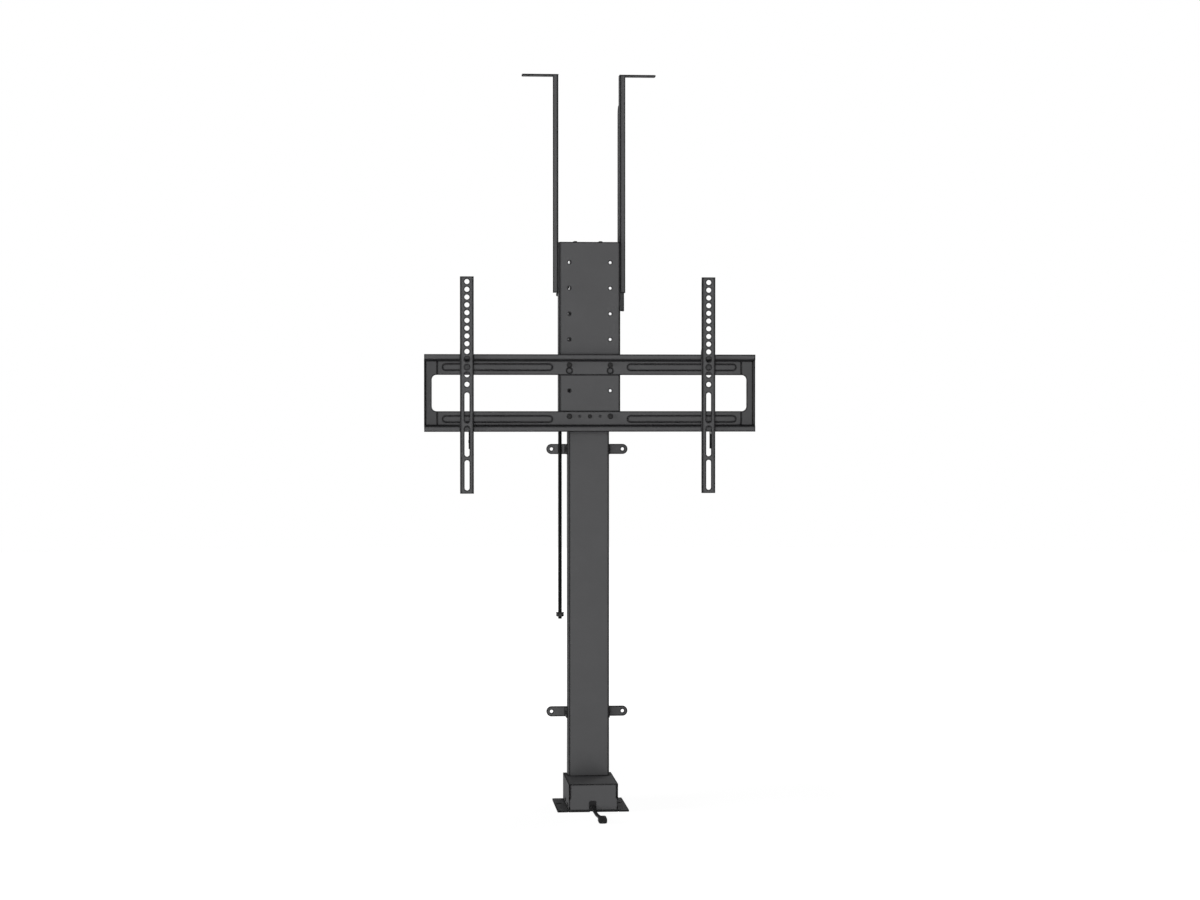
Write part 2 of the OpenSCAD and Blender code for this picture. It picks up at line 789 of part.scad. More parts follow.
module column_screws() {
    color(dark_steel) {
        for (side = [-1, 1]) for (z = [ear_low, ear_low + ear_rise]) for (step = [0, 1])
            translate([side * (outer_w / 2 + ear_t), ear_screw_y(step), z]) rotate([0, side * 90, 0])
                screw(ear_head_r, ear_head_h, small_r, ear_t + tube_wall);
        translate([-outer_w / 2 - eye_foot, rod_y, eye_screw_z]) rotate([0, -90, 0])
            screw(ear_head_r, ear_head_h, small_r, eye_foot + tube_wall);
    }
}

// Stop rod

module rod_guide() {
    eye_r = rod_r + eye_play;
    eye_end = rod_x + eye_r + eye_rim;
    half_d = eye_r + eye_rim;
    color(black_steel) difference() {
        union() {
            translate([-eye_end, rod_y - half_d, eye_z])
                cube([eye_end - outer_w / 2, 2 * half_d, eye_t]);
            translate([-outer_w / 2 - eye_foot, rod_y - half_d, eye_z])
                cube([eye_foot, 2 * half_d, eye_rise]);
        }
        down_hole(-rod_x, rod_y, eye_z, eye_z + eye_t, eye_r);
        side_hole(-outer_w / 2 - eye_foot, -outer_w / 2, rod_y, eye_screw_z, small_r + small_clear);
    }
}

module rod_hanger() {
    wall_x = sleeve_w / 2 - sleeve_t;
    shelf_back = rod_y + m8_washer_r;
    side_back = rod_y - m8_washer_r - 1;
    color(black_steel) difference() {
        union() {
            translate([-wall_x, sleeve_back + bend, hanger_z])
                cube([hanger_side, side_back - sleeve_back - bend, hanger_tab]);
            translate([-wall_x + bend, sleeve_back, hanger_z])
                cube([wall_x - bend - hole_x, hanger_side, hanger_tab]);
            translate([-rod_x - m8_washer_r, sleeve_edge + 1, hanger_z])
                cube([2 * m8_washer_r, shelf_back - sleeve_edge - 1, hanger_t]);
        }
        down_hole(-rod_x, rod_y, hanger_z, hanger_z + hanger_t, rod_r + small_clear);
    }
}

module stop_rod() {
    color("#222223") translate([-rod_x, rod_y, rod_bottom]) cylinder(r = rod_r, h = rod_top - rod_bottom);
}

module hex_nut(z) {
    translate([-rod_x, rod_y, z]) difference() {
        cylinder(r = m8_nut_r, h = m8_nut_h, $fn = 6);
        down_hole(0, 0, 0, m8_nut_h, rod_r + fit);
    }
}

module rod_nuts() {
    washer_z = rod_bottom + rod_end + m8_nut_h + fit;
    color(dark_steel) {
        hex_nut(rod_bottom + rod_end);
        translate([-rod_x, rod_y, washer_z]) difference() {
            cylinder(r = m8_washer_r, h = m8_washer_h);
            down_hole(0, 0, 0, m8_washer_h, rod_r + fit);
        }
        hex_nut(hanger_z - m8_nut_h);
        hex_nut(hanger_z + hanger_t);
    }
}

// Lead

module power_lead() {
    color(black_plastic) swept_tube(lead_points, lead_r, lead_sides);
}

module lead_connector() {
    color(black_plastic) translate([plug_x, -plug_back, plug_z]) rotate([90, 0, 0]) union() {
        linear_extrude(plug_len) polygon(outline(box_points(plug_w, plug_h, plug_corner)));
        translate([0, 0, plug_len - fit]) cylinder(r = pin_r, h = pin_len + fit);
    }
}

// Drive

module drive_screw() {
    foot_z = plate_t + pocket_floor;
    shoulder = gear_z - wheel_h / 2;
    color(bright_steel) union() {
        translate([0, 0, foot_z]) cylinder(r = foot_r, h = shoulder - foot_z + fit);
        translate([0, 0, shoulder]) cylinder(r = screw_r, h = screw_top - shoulder);
    }
}

// The wheel's rim as one outline: a trapezoid tooth at each step
module worm_wheel() {
    step = 360 / wheel_teeth;
    root_r = wheel_r - tooth_depth;
    rim = [for (i = [0:wheel_teeth - 1]) each
        [[root_r, i * step], [wheel_r, (i + 0.2) * step], [wheel_r, (i + 0.45) * step],
         [root_r, (i + 0.65) * step]]];
    color(bronze) translate([0, 0, gear_z - wheel_h / 2]) difference() {
        linear_extrude(wheel_h) polygon([for (p = rim) p[0] * [cos(p[1]), sin(p[1])]]);
        down_hole(0, 0, 0, wheel_h, screw_r + fit);
    }
}

module keys(r, w, h) {
    for (turn = [0, 180]) rotate([0, 0, turn])
        translate([r - 1, -w / 2, 0]) cube([key_h + 1, w, h]);
}

module spline_collar() {
    color(bright_steel) translate([0, 0, screw_top - spline_h]) difference() {
        union() {
            cylinder(r = hollow_bore - run_clear, h = spline_h);
            keys(hollow_bore - slide_clear, key_w - 2 * slide_clear, spline_h);
        }
        down_hole(0, 0, 0, spline_h, screw_r + fit);
    }
}

module hollow_screw() {
    color(bright_steel) translate([0, 0, hollow_bottom]) difference() {
        cylinder(r = hollow_r, h = hollow_len);
        down_hole(0, 0, 0, hollow_len, hollow_bore);
        translate([0, 0, -cut]) keys(hollow_bore, key_w, hollow_len + 2 * cut);
    }
}

module worm_shaft() {
    front_y = -gearbox_front - journal_pocket + journal_room;
    color(bright_steel) union() {
        translate([worm_x, worm_len / 2 + pocket_floor, gear_z]) rotate([90, 0, 0])
            cylinder(r = journal_r, h = worm_len / 2 + pocket_floor - front_y);
        translate([worm_x, worm_len / 2, gear_z]) rotate([90, 0, 0])
            cylinder(r = worm_r, h = worm_len);
    }
}

// A block that closes a tube's foot and runs on a screw
module nut_block(w, d, z, bore) {
    color(bronze) difference() {
        rounded_box(w - 2 * fit, d - 2 * fit, tube_corner - tube_wall, z, z + nut_h);
        down_hole(0, 0, z, z + nut_h, bore + run_clear);
    }
}

module lower_nut() { nut_block(mid_in_w, mid_in_d, mid_bottom, screw_r); }
module upper_nut() { nut_block(inner_in_w, inner_in_d, inner_bottom, hollow_r); }

module thrust_washer() {
    color(bronze) difference() {
        translate([0, 0, mid_bottom + nut_h]) cylinder(r = hollow_r + washer_rim, h = washer_t);
        down_hole(0, 0, mid_bottom + nut_h, mid_bottom + nut_h + washer_t, hollow_bore);
    }
}

// Moving tubes

module mid_column() {
    color(black_steel) tube_section(mid_w, mid_d, tube_wall, tube_corner, mid_bottom, mid_top);
}

module inner_column() {
    color(black_steel) tube_section(inner_w, inner_d, tube_wall, tube_corner, inner_bottom, inner_top);
}

module inner_cap() {
    color(dark_steel) difference() {
        rounded_box(inner_in_w - 2 * fit, inner_in_d - 2 * fit, tube_corner - tube_wall,
                    inner_top - inner_cap_h, inner_top);
        for (side = [-1, 1])
            down_hole(side * top_bolt_x, 0, inner_top - inner_cap_h, inner_top, hole_r);
    }
}

// Sleeve plate

module channel(w, d, t, r) {
    polygon(outline([[-w / 2, d, 0], [-w / 2, 0, r], [w / 2, 0, r], [w / 2, d, 0],
                     [w / 2 - t, d, 0], [w / 2 - t, t, r - t], [-w / 2 + t, t, r - t],
                     [-w / 2 + t, d, 0]]));
}

module sleeve_plate() {
    tongue_w = inner_w + tongue_extra;
    color(black_steel) difference() {
        union() {
            translate([0, sleeve_front, sleeve_bottom]) linear_extrude(sleeve_h)
                channel(sleeve_w, sleeve_side, sleeve_t, sleeve_t + bend);
            translate([-sleeve_w / 2 + sleeve_t + bend, sleeve_front + sleeve_t - fit, sleeve_top - sleeve_t])
                cube([sleeve_w - 2 * (sleeve_t + bend), sleeve_side - sleeve_t + fit, sleeve_t]);
            translate([-tongue_w / 2, sleeve_edge - cut, sleeve_top - sleeve_t])
                cube([tongue_w, inner_d / 2 - sleeve_edge + cut, sleeve_t]);
        }
        for (row = [0:hole_rows - 1]) for (side = [-1, 1])
            front_hole(side * hole_x, top_row - row * hole_pitch, hole_r, sleeve_front, sleeve_back);
        front_hole(0, lower_bolt_z, small_r + small_clear, sleeve_front, sleeve_back);
        for (side = [-1, 1])
            down_hole(side * top_bolt_x, 0, sleeve_top - sleeve_t, sleeve_top, hole_r);
        for (step = [0, 1])
            side_hole(-sleeve_w / 2, sleeve_w / 2, lid_bolt_y, lid_bolt_z(step), m5_r + m5_clear);
        for (step = [0, 1])
            side_hole(0, sleeve_w / 2, duct_screw_y, duct_screw_z(step), small_r + small_clear);
    }
}

module top_bolts() {
    color(dark_steel) for (side = [-1, 1]) translate([side * top_bolt_x, 0, sleeve_top])
        screw(top_head_r, top_head_h, bolt_r, sleeve_t + inner_cap_h, bolt_socket_r);
}

// Lid brackets

function lid_bolt_z(step) = lid_bottom + lid_bolt_low + step * lid_bolt_pitch;

module lid_bracket(side) {
    leg = outline([[0, lid_depth, 0], [0, 0, lid_bend], [lid_flange, 0, 0],
                   [lid_flange, lid_t, 0], [lid_t, lid_t, bend], [lid_t, lid_depth, 0]]);
    tab = outline([[0, 0, 0], [lid_tab, 0, 4], [lid_tab, lid_depth, 4], [0, lid_depth, 0]]);
    color(black_steel) difference() {
        mirror([side < 0 ? 1 : 0, 0, 0]) translate([lid_x, lid_front, 0]) {
            translate([0, 0, lid_bottom]) linear_extrude(lid_h - lid_t / 2) polygon(leg);
            translate([0, 0, lid_top - lid_t]) linear_extrude(lid_t) polygon(tab);
        }
        for (step = [0, 1])
            side_hole(-lid_x - lid_t, lid_x + lid_t, lid_bolt_y, lid_bolt_z(step), m5_r + m5_clear);
        for (step = [0, 1])
            down_hole(side * (lid_tab_end - lid_hole_edge - step * lid_hole_pitch), lid_hole_y,
                      lid_top - lid_t, lid_top, lid_hole_r);
    }
}

module left_lid_bracket() { lid_bracket(-1); }
module right_lid_bracket() { lid_bracket(1); }

module lid_bolts() {
    color(dark_steel) for (side = [-1, 1]) for (step = [0, 1])
        translate([side * (lid_x + lid_t), lid_bolt_y, lid_bolt_z(step)]) rotate([0, side * 90, 0])
            screw(m5_head_r, m5_head_h, m5_r, lid_t + sleeve_t + 1, bolt_socket_r);
}

// Cable duct

function duct_screw_z(step) = duct_bottom + duct_lug_low + duct_lug_h / 2 + step * duct_lug_pitch;

module cable_duct() {
    inside = sleeve_w / 2 - sleeve_t;
    profile = outline([[duct_front, duct_bottom, 1], [duct_front + duct_d, duct_bottom, 3],
                       [duct_front + duct_d, duct_bottom + duct_h, duct_round],
                       [duct_front, duct_bottom + duct_h, 1]]);
    color(black_steel) difference() {
        union() {
            sideways(lid_x, duct_w) polygon(profile);
            for (step = [0, 1]) {
                lug_z = duct_screw_z(step) - duct_lug_h / 2;
                translate([inside - duct_t, duct_front + duct_lug_gap, lug_z])
                    cube([lid_x + duct_t - inside + duct_t, duct_t, duct_lug_h]);
                translate([inside - duct_t, duct_front - duct_lug_reach, lug_z])
                    cube([duct_t, duct_lug_reach + duct_lug_gap + duct_t, duct_lug_h]);
            }
        }
        translate([lid_x + duct_t, duct_front + duct_t, duct_bottom - cut])
            cube([duct_w - 2 * duct_t, duct_d - 2 * duct_t, duct_h + 2 * cut]);
        for (step = [0, 1])
            side_hole(inside - duct_t, inside, duct_screw_y, duct_screw_z(step), small_r + small_clear);
    }
}

module duct_screws() {
    inside = sleeve_w / 2 - sleeve_t - duct_t;
    color(dark_steel) for (step = [0, 1])
        translate([inside, duct_screw_y, duct_screw_z(step)]) rotate([0, -90, 0])
            screw(small_head_r, small_head_h, small_r, duct_t + sleeve_t);
}

// Crossbar

// A rail's section: its web stands on the line z = 0 and its lip points up
module rail_section() {
    polygon(outline([[0, 0, 0], [-bar_t, 0, 0], [-bar_t, web_h - bar_t, bend],
                     [-bar_depth, web_h - bar_t, bar_bend], [-bar_depth, web_h + lip_h, 0],
                     [-bar_depth + bar_t, web_h + lip_h, 0], [-bar_depth + bar_t, web_h, bend],
                     [0, web_h, bar_bend]]));
}

module stadium(x0, x1, w) {
    translate([x0 + w / 2, -w / 2]) square([x1 - x0 - w, w]);
    translate([x0 + w / 2, 0]) circle(r = w / 2);
    translate([x1 - w / 2, 0]) circle(r = w / 2);
}

// A rail as it lies with its web's free edge at z = 0
module rail() {
    web_w = bar_w - 2 * end_w;
    in_w = bead_w - 2 * bar_t;
    difference() {
        union() {
            sideways(-bar_w / 2, bar_w) rail_section();
            for (side = [-1, 1]) mirror([side < 0 ? 1 : 0, 0, 0])
                translate([0, 0, web_h / 2]) upright(-bar_t - bead_h, bead_h + fit)
                    stadium(bead_inner, bead_outer, bead_w);
        }
        for (side = [-1, 1]) {
            translate([side > 0 ? web_w / 2 : -bar_w, -bar_t - bead_h - cut, -cut])
                cube([bar_w - web_w / 2, bar_t + bead_h + 2 * cut, web_h - bar_t + cut]);
            mirror([side < 0 ? 1 : 0, 0, 0]) translate([0, 0, web_h / 2]) upright(-bead_h, bead_h + cut)
                stadium(bead_inner + bar_t, bead_outer - bar_t, in_w);
        }
    }
}

module upper_rail() {
    hang_z = upper_bolt_z - hang_drop;
    color(black_steel) difference() {
        translate([0, sleeve_front, window_top]) rail();
        for (side = [-1, 1]) {
            front_hole(side * hole_x, upper_bolt_z, hole_r, web_front, sleeve_front);
            front_hole(side * hole_x, hang_z, hang_r, web_front, sleeve_front);
        }
    }
}

module lower_rail() {
    color(black_steel) difference() {
        translate([0, sleeve_front, window_bottom]) mirror([0, 0, 1]) rail();
        for (side = [-1, 1]) {
            front_hole(side * hole_x, lower_bolt_z, hole_r, web_front, sleeve_front);
            translate([side * hole_x / 2, web_front + dimple, lower_bolt_z]) rotate([90, 0, 0])
                cylinder(r = small_r, h = dimple + cut);
        }
        front_hole(0, lower_bolt_z, small_r + small_clear, web_front, sleeve_front);
    }
}

// An end plate: a web with the window's rounded corners, and a flange in front
module end_plate(side) {
    inner_x = bar_w / 2 - end_w;
    side_x = bar_w / 2 - end_side;
    outer_x = bar_w / 2;
    low = lower_edge + bar_t;
    high = upper_edge - bar_t;
    face = outline([[inner_x, low, 0], [outer_x, low, 0], [outer_x, high, 0], [inner_x, high, 0],
                    [inner_x, window_top, 0], [side_x, window_top, window_r],
                    [side_x, window_bottom, window_r], [inner_x, window_bottom, 0]]);
    color(black_steel) mirror([side < 0 ? 1 : 0, 0, 0]) {
        upright(web_front, bar_t) polygon(face);
        translate([outer_x - bar_t, bar_front + bar_t, low])
            cube([bar_t, bar_depth - 2 * bar_t + fit, high - low]);
    }
}

module left_end_plate() { end_plate(-1); }
module right_end_plate() { end_plate(1); }

module crossbar_bolts() {
    color(dark_steel) for (side = [-1, 1]) for (z = [upper_bolt_z, lower_bolt_z])
        translate([side * hole_x, web_front, z]) rotate([90, 0, 0])
            screw(bolt_head_r, bolt_head_h, bolt_r, bar_t + sleeve_t + 1, bolt_socket_r);
}

module centre_screw() {
    color(dark_steel) translate([0, web_front, lower_bolt_z]) rotate([90, 0, 0])
        screw(small_head_r, small_head_h, small_r, bar_t + sleeve_t, 1.2);
}

// Screen arms

// One cheek of an arm: its hook passes over the upper lip and down behind it
module cheek(x0) {
    hook_top = bar_top + arm_play + hook_t;
    hook_back = bar_front + bar_t + arm_play;
    hook_tip = bar_top - lip_h + hook_rest;
    arm_bottom = arm_top - arm_len;
    sideways(x0, arm_t) polygon(outline([
        [arm_front + arm_bend, arm_bottom, 0], [arm_back - cheek_step, arm_bottom, 2],
        [arm_back, arm_bottom + cheek_taper, 2], [arm_back, bar_top + arm_play, 0],
        [hook_back, bar_top + arm_play, 0], [hook_back, hook_tip, 0],
        [hook_back + hook_d, hook_tip, 1.5], [hook_back + hook_d, hook_top, 3],
        [arm_back, hook_top + cheek_rise, 2], [arm_back, arm_top - cheek_taper, 2],
        [arm_back - cheek_step, arm_top, 2], [arm_front + arm_bend, arm_top, 0]]));
}

module arm(x) {
    color(black_steel) difference() {
        union() {
            translate([x, arm_front, arm_top - arm_len]) linear_extrude(arm_len)
                channel(arm_w, arm_bend + fit, arm_t, arm_bend);
            cheek(x - arm_w / 2);
            cheek(x + arm_w / 2 - arm_t);
        }
        for (k = [0:arm_holes - 1])
            front_hole(x, arm_top - arm_first - k * arm_pitch, arm_hole_r, arm_front, arm_front + arm_t);
        front_hole(x, arm_top - arm_lone, arm_hole_r, arm_front, arm_front + arm_t);
        for (k = [0:2]) {
            slot_z = arm_top - slot_first - k * slot_pitch;
            half = (slot_len - slot_w) / 2;
            for (end = [-half, half])
                front_hole(x, slot_z + end, slot_w / 2, arm_front, arm_front + arm_t);
            translate([x - slot_w / 2, arm_front - cut, slot_z - half])
                cube([slot_w, arm_t + 2 * cut, 2 * half]);
        }
        side_hole(x + arm_w / 2 - arm_t, x + arm_w / 2, lock_y, lock_pin_z, lock_pin_r + small_clear);
    }
}

// A lock plate under the crossbar with a finger up behind the lower lip
module lock_plate(x) {
    back = bar_front + bar_t + arm_play;
    front = arm_front + arm_t + fit;
    finger_top = lower_edge - finger_gap;
    color(dark_steel) difference() {
        sideways(x + lock_x, lock_t) polygon(outline([
            [front, lock_z, 1.5], [back + lock_finger, lock_z, 3], [back + lock_finger, finger_top, 1],
            [back, finger_top, 1], [back, lock_top, 0], [front, lock_top, 1.5]]));
        side_hole(x + lock_x, x + lock_x + lock_t, lock_y, lock_pin_z, lock_pin_r + small_clear);
    }
}

module lock_pin(x) {
    end_x = x + arm_w / 2;
    head_t = 0.8;
    color(dark_steel) translate([x + lock_x, lock_y, lock_pin_z]) rotate([0, 90, 0]) {
        translate([0, 0, -head_t]) cylinder(r = lock_collar_r, h = head_t);
        translate([0, 0, -head_t / 2]) cylinder(r = lock_pin_r, h = end_x - x - lock_x + head_t / 2);
        translate([0, 0, lock_t]) cylinder(r = lock_collar_r, h = arm_w / 2 - arm_t - lock_x - lock_t);
    }
}

module left_arm() { arm(-left_arm_x); }
module left_lock_plate() { lock_plate(-left_arm_x); }
module left_lock_pin() { lock_pin(-left_arm_x); }
module right_arm() { arm(right_arm_x); }
module right_lock_plate() { lock_plate(right_arm_x); }
module right_lock_pin() { lock_pin(right_arm_x); }

base_plate();
base_cover();
cover_screws();
cable_bush();
gearbox_lower();
gearbox_upper();
gearbox_screws();
thrust_bearing();
motor_can();
motor_end_cap();
outer_column();
outer_collar();
lower_left_ear();
lower_right_ear();
upper_left_ear();
upper_right_ear();
column_screws();
rod_guide();
power_lead();
lead_connector();
drive_screw();
worm_wheel();
spline_collar();
worm_shaft();
mid_column();
mid_collar();
mid_glides();
lower_nut();
thrust_washer();
hollow_screw();
inner_column();
inner_cap();
inner_glides();
upper_nut();
sleeve_plate();
top_bolts();
left_lid_bracket();
right_lid_bracket();
lid_bolts();
cable_duct();
duct_screws();
rod_hanger();
stop_rod();
rod_nuts();
upper_rail();
lower_rail();
left_end_plate();
right_end_plate();
crossbar_bolts();
centre_screw();
left_arm();
left_lock_plate();
left_lock_pin();
right_arm();
right_lock_plate();
right_lock_pin();
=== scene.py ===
# %% [markdown]
# # A motorised TV lift in dark powder coat
# The real object is a telescopic steel column that stands on a flat foot. A motor in the foot turns
# a screw inside the column, and the column carries a crossbar with two hooked screen arms.
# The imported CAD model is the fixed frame: every piece made here goes where the CAD says, in metres.

# %% Load the frame and measure it
import json
import math

import bpy
from mathutils import Euler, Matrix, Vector


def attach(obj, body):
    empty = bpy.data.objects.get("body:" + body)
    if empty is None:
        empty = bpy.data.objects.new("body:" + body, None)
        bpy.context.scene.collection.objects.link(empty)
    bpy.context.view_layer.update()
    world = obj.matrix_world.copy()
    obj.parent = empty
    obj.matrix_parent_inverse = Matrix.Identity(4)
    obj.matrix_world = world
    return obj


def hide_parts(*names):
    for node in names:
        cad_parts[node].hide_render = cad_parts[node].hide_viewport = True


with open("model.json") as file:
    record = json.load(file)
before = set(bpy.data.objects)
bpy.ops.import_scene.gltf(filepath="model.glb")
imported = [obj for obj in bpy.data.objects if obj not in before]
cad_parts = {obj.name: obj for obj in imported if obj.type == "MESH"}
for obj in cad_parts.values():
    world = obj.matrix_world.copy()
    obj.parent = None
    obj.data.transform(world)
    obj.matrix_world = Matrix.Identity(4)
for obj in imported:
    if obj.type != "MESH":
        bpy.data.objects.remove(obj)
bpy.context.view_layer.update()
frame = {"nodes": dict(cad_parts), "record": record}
MM = 0.001
print("nodes:", len(frame["nodes"]))

# %% [markdown]
# ## The camera
# The photograph looks almost straight at the lift from a little to the left, from halfway up, and
# about one degree down. The long lens keeps its upright lines upright to within a pixel. The place,
# turn, tilt and lens come from fitting known corners of the lift to where they lie in the
# photograph. A level camera with a shifted lens fits slightly better, but it carries its shift into
# every other view and cuts off the lift's top there.

# %% Place the camera
FRAME_W = 1200  # pixels
FOCAL_PX = 2561.0
SENSOR_W = 36.0  # mm
TILT, TURN = math.radians(88.98), math.radians(-4.839)  # 90 degrees is level, and 0 faces +Y
camera_data = bpy.data.cameras.new("camera")
camera_data.sensor_fit = "HORIZONTAL"
camera_data.sensor_width = SENSOR_W
camera_data.lens = FOCAL_PX * SENSOR_W / FRAME_W
camera_data.clip_end = 60.0  # m, well past the floor's far edge
camera = bpy.data.objects.new("camera", camera_data)
camera.location = (-0.4020, -5.0322, 0.7842)
camera.rotation_euler = Euler((TILT, 0, TURN))
bpy.context.scene.collection.objects.link(camera)
bpy.context.scene.camera = camera
print("lens %.2f mm" % camera_data.lens)

# %% [markdown]
# ## The power lead
# A short PVC-sheathed lead leaves the foot and ends in a small moulded connector. A curve with a
# round bevel is the natural way to make a lead, because its centre line stays measurable. The
# points are the route that the CAD solid follows, and a smooth curve is drawn through them.

# %% A smooth line along the lead's route
LEAD_R = 3.5 * MM
LEAD_ROUTE = [  # mm
    (-1.5, -155, 8.5), (-1.5, -161, 8.5), (-1.3, -167, 8.2), (-0.8, -173, 7.4), (-0.1, -179, 6.4),
    (0.6, -185, 5.3), (1.4, -191, 4.4), (2.2, -197, 3.8), (3.0, -203, 3.6), (3.8, -209, 3.6),
    (4.5, -215, 3.7), (5.1, -221, 4.0), (5.7, -227, 4.6), (6.1, -233, 5.3), (6.4, -239, 5.8),
    (6.5, -243, 6.0), (6.5, -246, 6.0),
]
LEAD_STEPS = 4  # pieces of line between two of those points


def smooth_line(points, steps):
    """A Catmull-Rom line through the points, with so many steps from each one to the next."""
    ends = [points[0] * 2 - points[1], *points, points[-1] * 2 - points[-2]]
    line = []
    for a, b, c, d in zip(ends, ends[1:], ends[2:], ends[3:]):
        for step in range(steps):
            t = step / steps
            line.append(0.5 * (2 * b + (c - a) * t + (2 * a - 5 * b + 4 * c - d) * t**2
                               + (3 * b - a - 3 * c + d) * t**3))
    return line + [points[-1]]


lead_line = smooth_line([Vector(p) * MM for p in LEAD_ROUTE], LEAD_STEPS)

# %% Draw the lead
LEAD_ROUNDNESS = 7  # Blender's bevel resolution
lead_data = bpy.data.curves.new("lead_sheath", "CURVE")
lead_data.dimensions = "3D"
# A curve's box grows by its points' radius, which is 1 m unless set. So the points carry the lead's
# radius, and the profile swept along them is a circle of radius 1.
lead_data.bevel_depth = 1.0
lead_data.bevel_resolution = LEAD_ROUNDNESS
lead_data.use_fill_caps = True
spline = lead_data.splines.new("POLY")
spline.points.add(len(lead_line) - 1)
for point, place in zip(spline.points, lead_line):
    point.co = (*place, 1.0)
    point.radius = LEAD_R
lead_sheath = bpy.data.objects.new("lead_sheath", lead_data)
bpy.context.scene.collection.objects.link(lead_sheath)
print("lead drawn through", len(spline.points), "points")

# %% [markdown]
# ## The lead's connector
# The connector is moulded over the lead's end: a thin neck swells into a flat grip with shallow
# finger ribs. A loft suits it: rings of points with rounded-square outlines, one behind another,
# joined into a closed skin. Ribs are then only rings that step in and out.

# %% A loft from rings
RING = 40  # points in each ring


def new_piece(name, verts, faces):
    """A mesh object at the origin, with its place in its mesh."""
    mesh = bpy.data.meshes.new(name)
    mesh.from_pydata([tuple(v) for v in verts], [], faces)
    mesh.validate()
    piece = bpy.data.objects.new(name, mesh)
    bpy.context.scene.collection.objects.link(piece)
    return piece


def loft_forward(name, start, stations):
    """Joins rounded-square rings. A station is (mm ahead, half width, half height, squareness)."""
    verts, faces = [], []
    for ahead, half_w, half_h, squareness in stations:
        for step in range(RING):
            angle = 2 * math.pi * step / RING
            c, s = math.cos(angle), math.sin(angle)
            reach = (abs(c) ** squareness + abs(s) ** squareness) ** (-1 / squareness)
            verts.append((start[0] + half_w * reach * c, start[1] - ahead,
                          start[2] + half_h * reach * s))
    for ring in range(len(stations) - 1):
        for step in range(RING):
            a, b = ring * RING + step, ring * RING + (step + 1) % RING
            faces.append((a, b, b + RING, a + RING))
    faces.append(tuple(range(RING - 1, -1, -1)))
    faces.append(tuple(range(len(verts) - RING, len(verts))))
    piece = new_piece(name, [Vector(v) * MM for v in verts], faces)
    for polygon in piece.data.polygons:
        polygon.use_smooth = len(polygon.vertices) == 4
    return piece


print("a ring has", RING, "points")

# %% Loft the connector
GRIP = (8.0, 6.0)  # half width and half height, mm
SQUARE, ROUND = 5.0, 2.0  # squareness of the grip's and of the pin's outline
RIBS, FIRST_RIB, RIB_PITCH, RIB_DEPTH = 5, 7.6, 2.6, 0.7
grip = [(0.0, 4.6, 4.3, 2.2), (0.6, 5.2, 4.8, 2.2), (3.0, 6.2, 5.2, 2.6), (5.5, 7.6, 5.7, 4.0),
        (6.4, *GRIP, SQUARE)]
for rib in range(RIBS):
    for ahead, inset in ((0.0, 0.0), (0.4, RIB_DEPTH), (1.2, RIB_DEPTH), (1.6, 0.0)):
        grip.append((FIRST_RIB + rib * RIB_PITCH + ahead, GRIP[0] - inset, GRIP[1] - inset, SQUARE))
grip += [(26.6, *GRIP, SQUARE), (27.6, 7.6, 5.6, SQUARE), (28.0, 6.8, 4.8, SQUARE)]
connector_grip = loft_forward("connector_grip", LEAD_ROUTE[-1], grip)
pin = [(ahead, radius, radius, ROUND) for ahead, radius in (
    (27.9, 1.75), (30.0, 1.75), (30.2, 1.5), (31.0, 1.5), (31.2, 1.75), (36.6, 1.75), (37.6, 1.3),
    (38.0, 0.6))]
connector_pin = loft_forward("connector_pin", LEAD_ROUTE[-1], pin)
print("connector:", len(connector_grip.data.polygons), "faces")

for piece in (lead_sheath, connector_grip, connector_pin):
    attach(piece, "root")
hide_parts("power_lead")
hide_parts("lead_connector")
print("lead declared, leaving at", [round(v, 4) for v in lead_line[0]])

# %% [markdown]
# ## Colours and nodes
# Colours are easiest to read as the hex values of a paint card, but Blender's sockets want linear
# light, so one function turns one into the other. One more adds a node with its settings and links.
# Where a socket takes a formula, nested brackets say it in one line, as sums on paper do.

# %% Colour and node helpers
def paint(hex_value):
    """The linear colour of an sRGB hex value."""
    parts = [int(hex_value[i:i + 2], 16) / 255 for i in (1, 3, 5)]
    return (*(p / 12.92 if p <= 0.04045 else ((p + 0.055) / 1.055) ** 2.4 for p in parts), 1.0)


def add(tree, kind, links=None, **settings):
    """Adds a node. Its links fill sockets, by name or number, with a value, socket or formula."""
    node = tree.nodes.new(kind)
    node.location = (220 * len(tree.nodes), 0)
    for name, value in settings.items():
        setattr(node, name, value)
    fill(tree, node, links or {})
    return node


def fill(tree, node, links):
    """Fills a node's sockets with values, other sockets or formulas."""
    for socket, source in links.items():
        source = formula(tree, source)
        if isinstance(source, bpy.types.NodeSocket):
            tree.links.new(source, node.inputs[socket])
        else:
            node.inputs[socket].default_value = source


def formula(tree, term):
    """The result of a formula such as ("MULTIPLY", a, ("SINE", b)). Other terms stay as is."""
    if not isinstance(term, tuple) or not isinstance(term[0], str):
        return term
    operation, *parts = term
    return add(tree, "ShaderNodeMath", dict(enumerate(parts)), operation=operation).outputs[0]


print("#525252 is", [round(v, 4) for v in paint("#525252")])
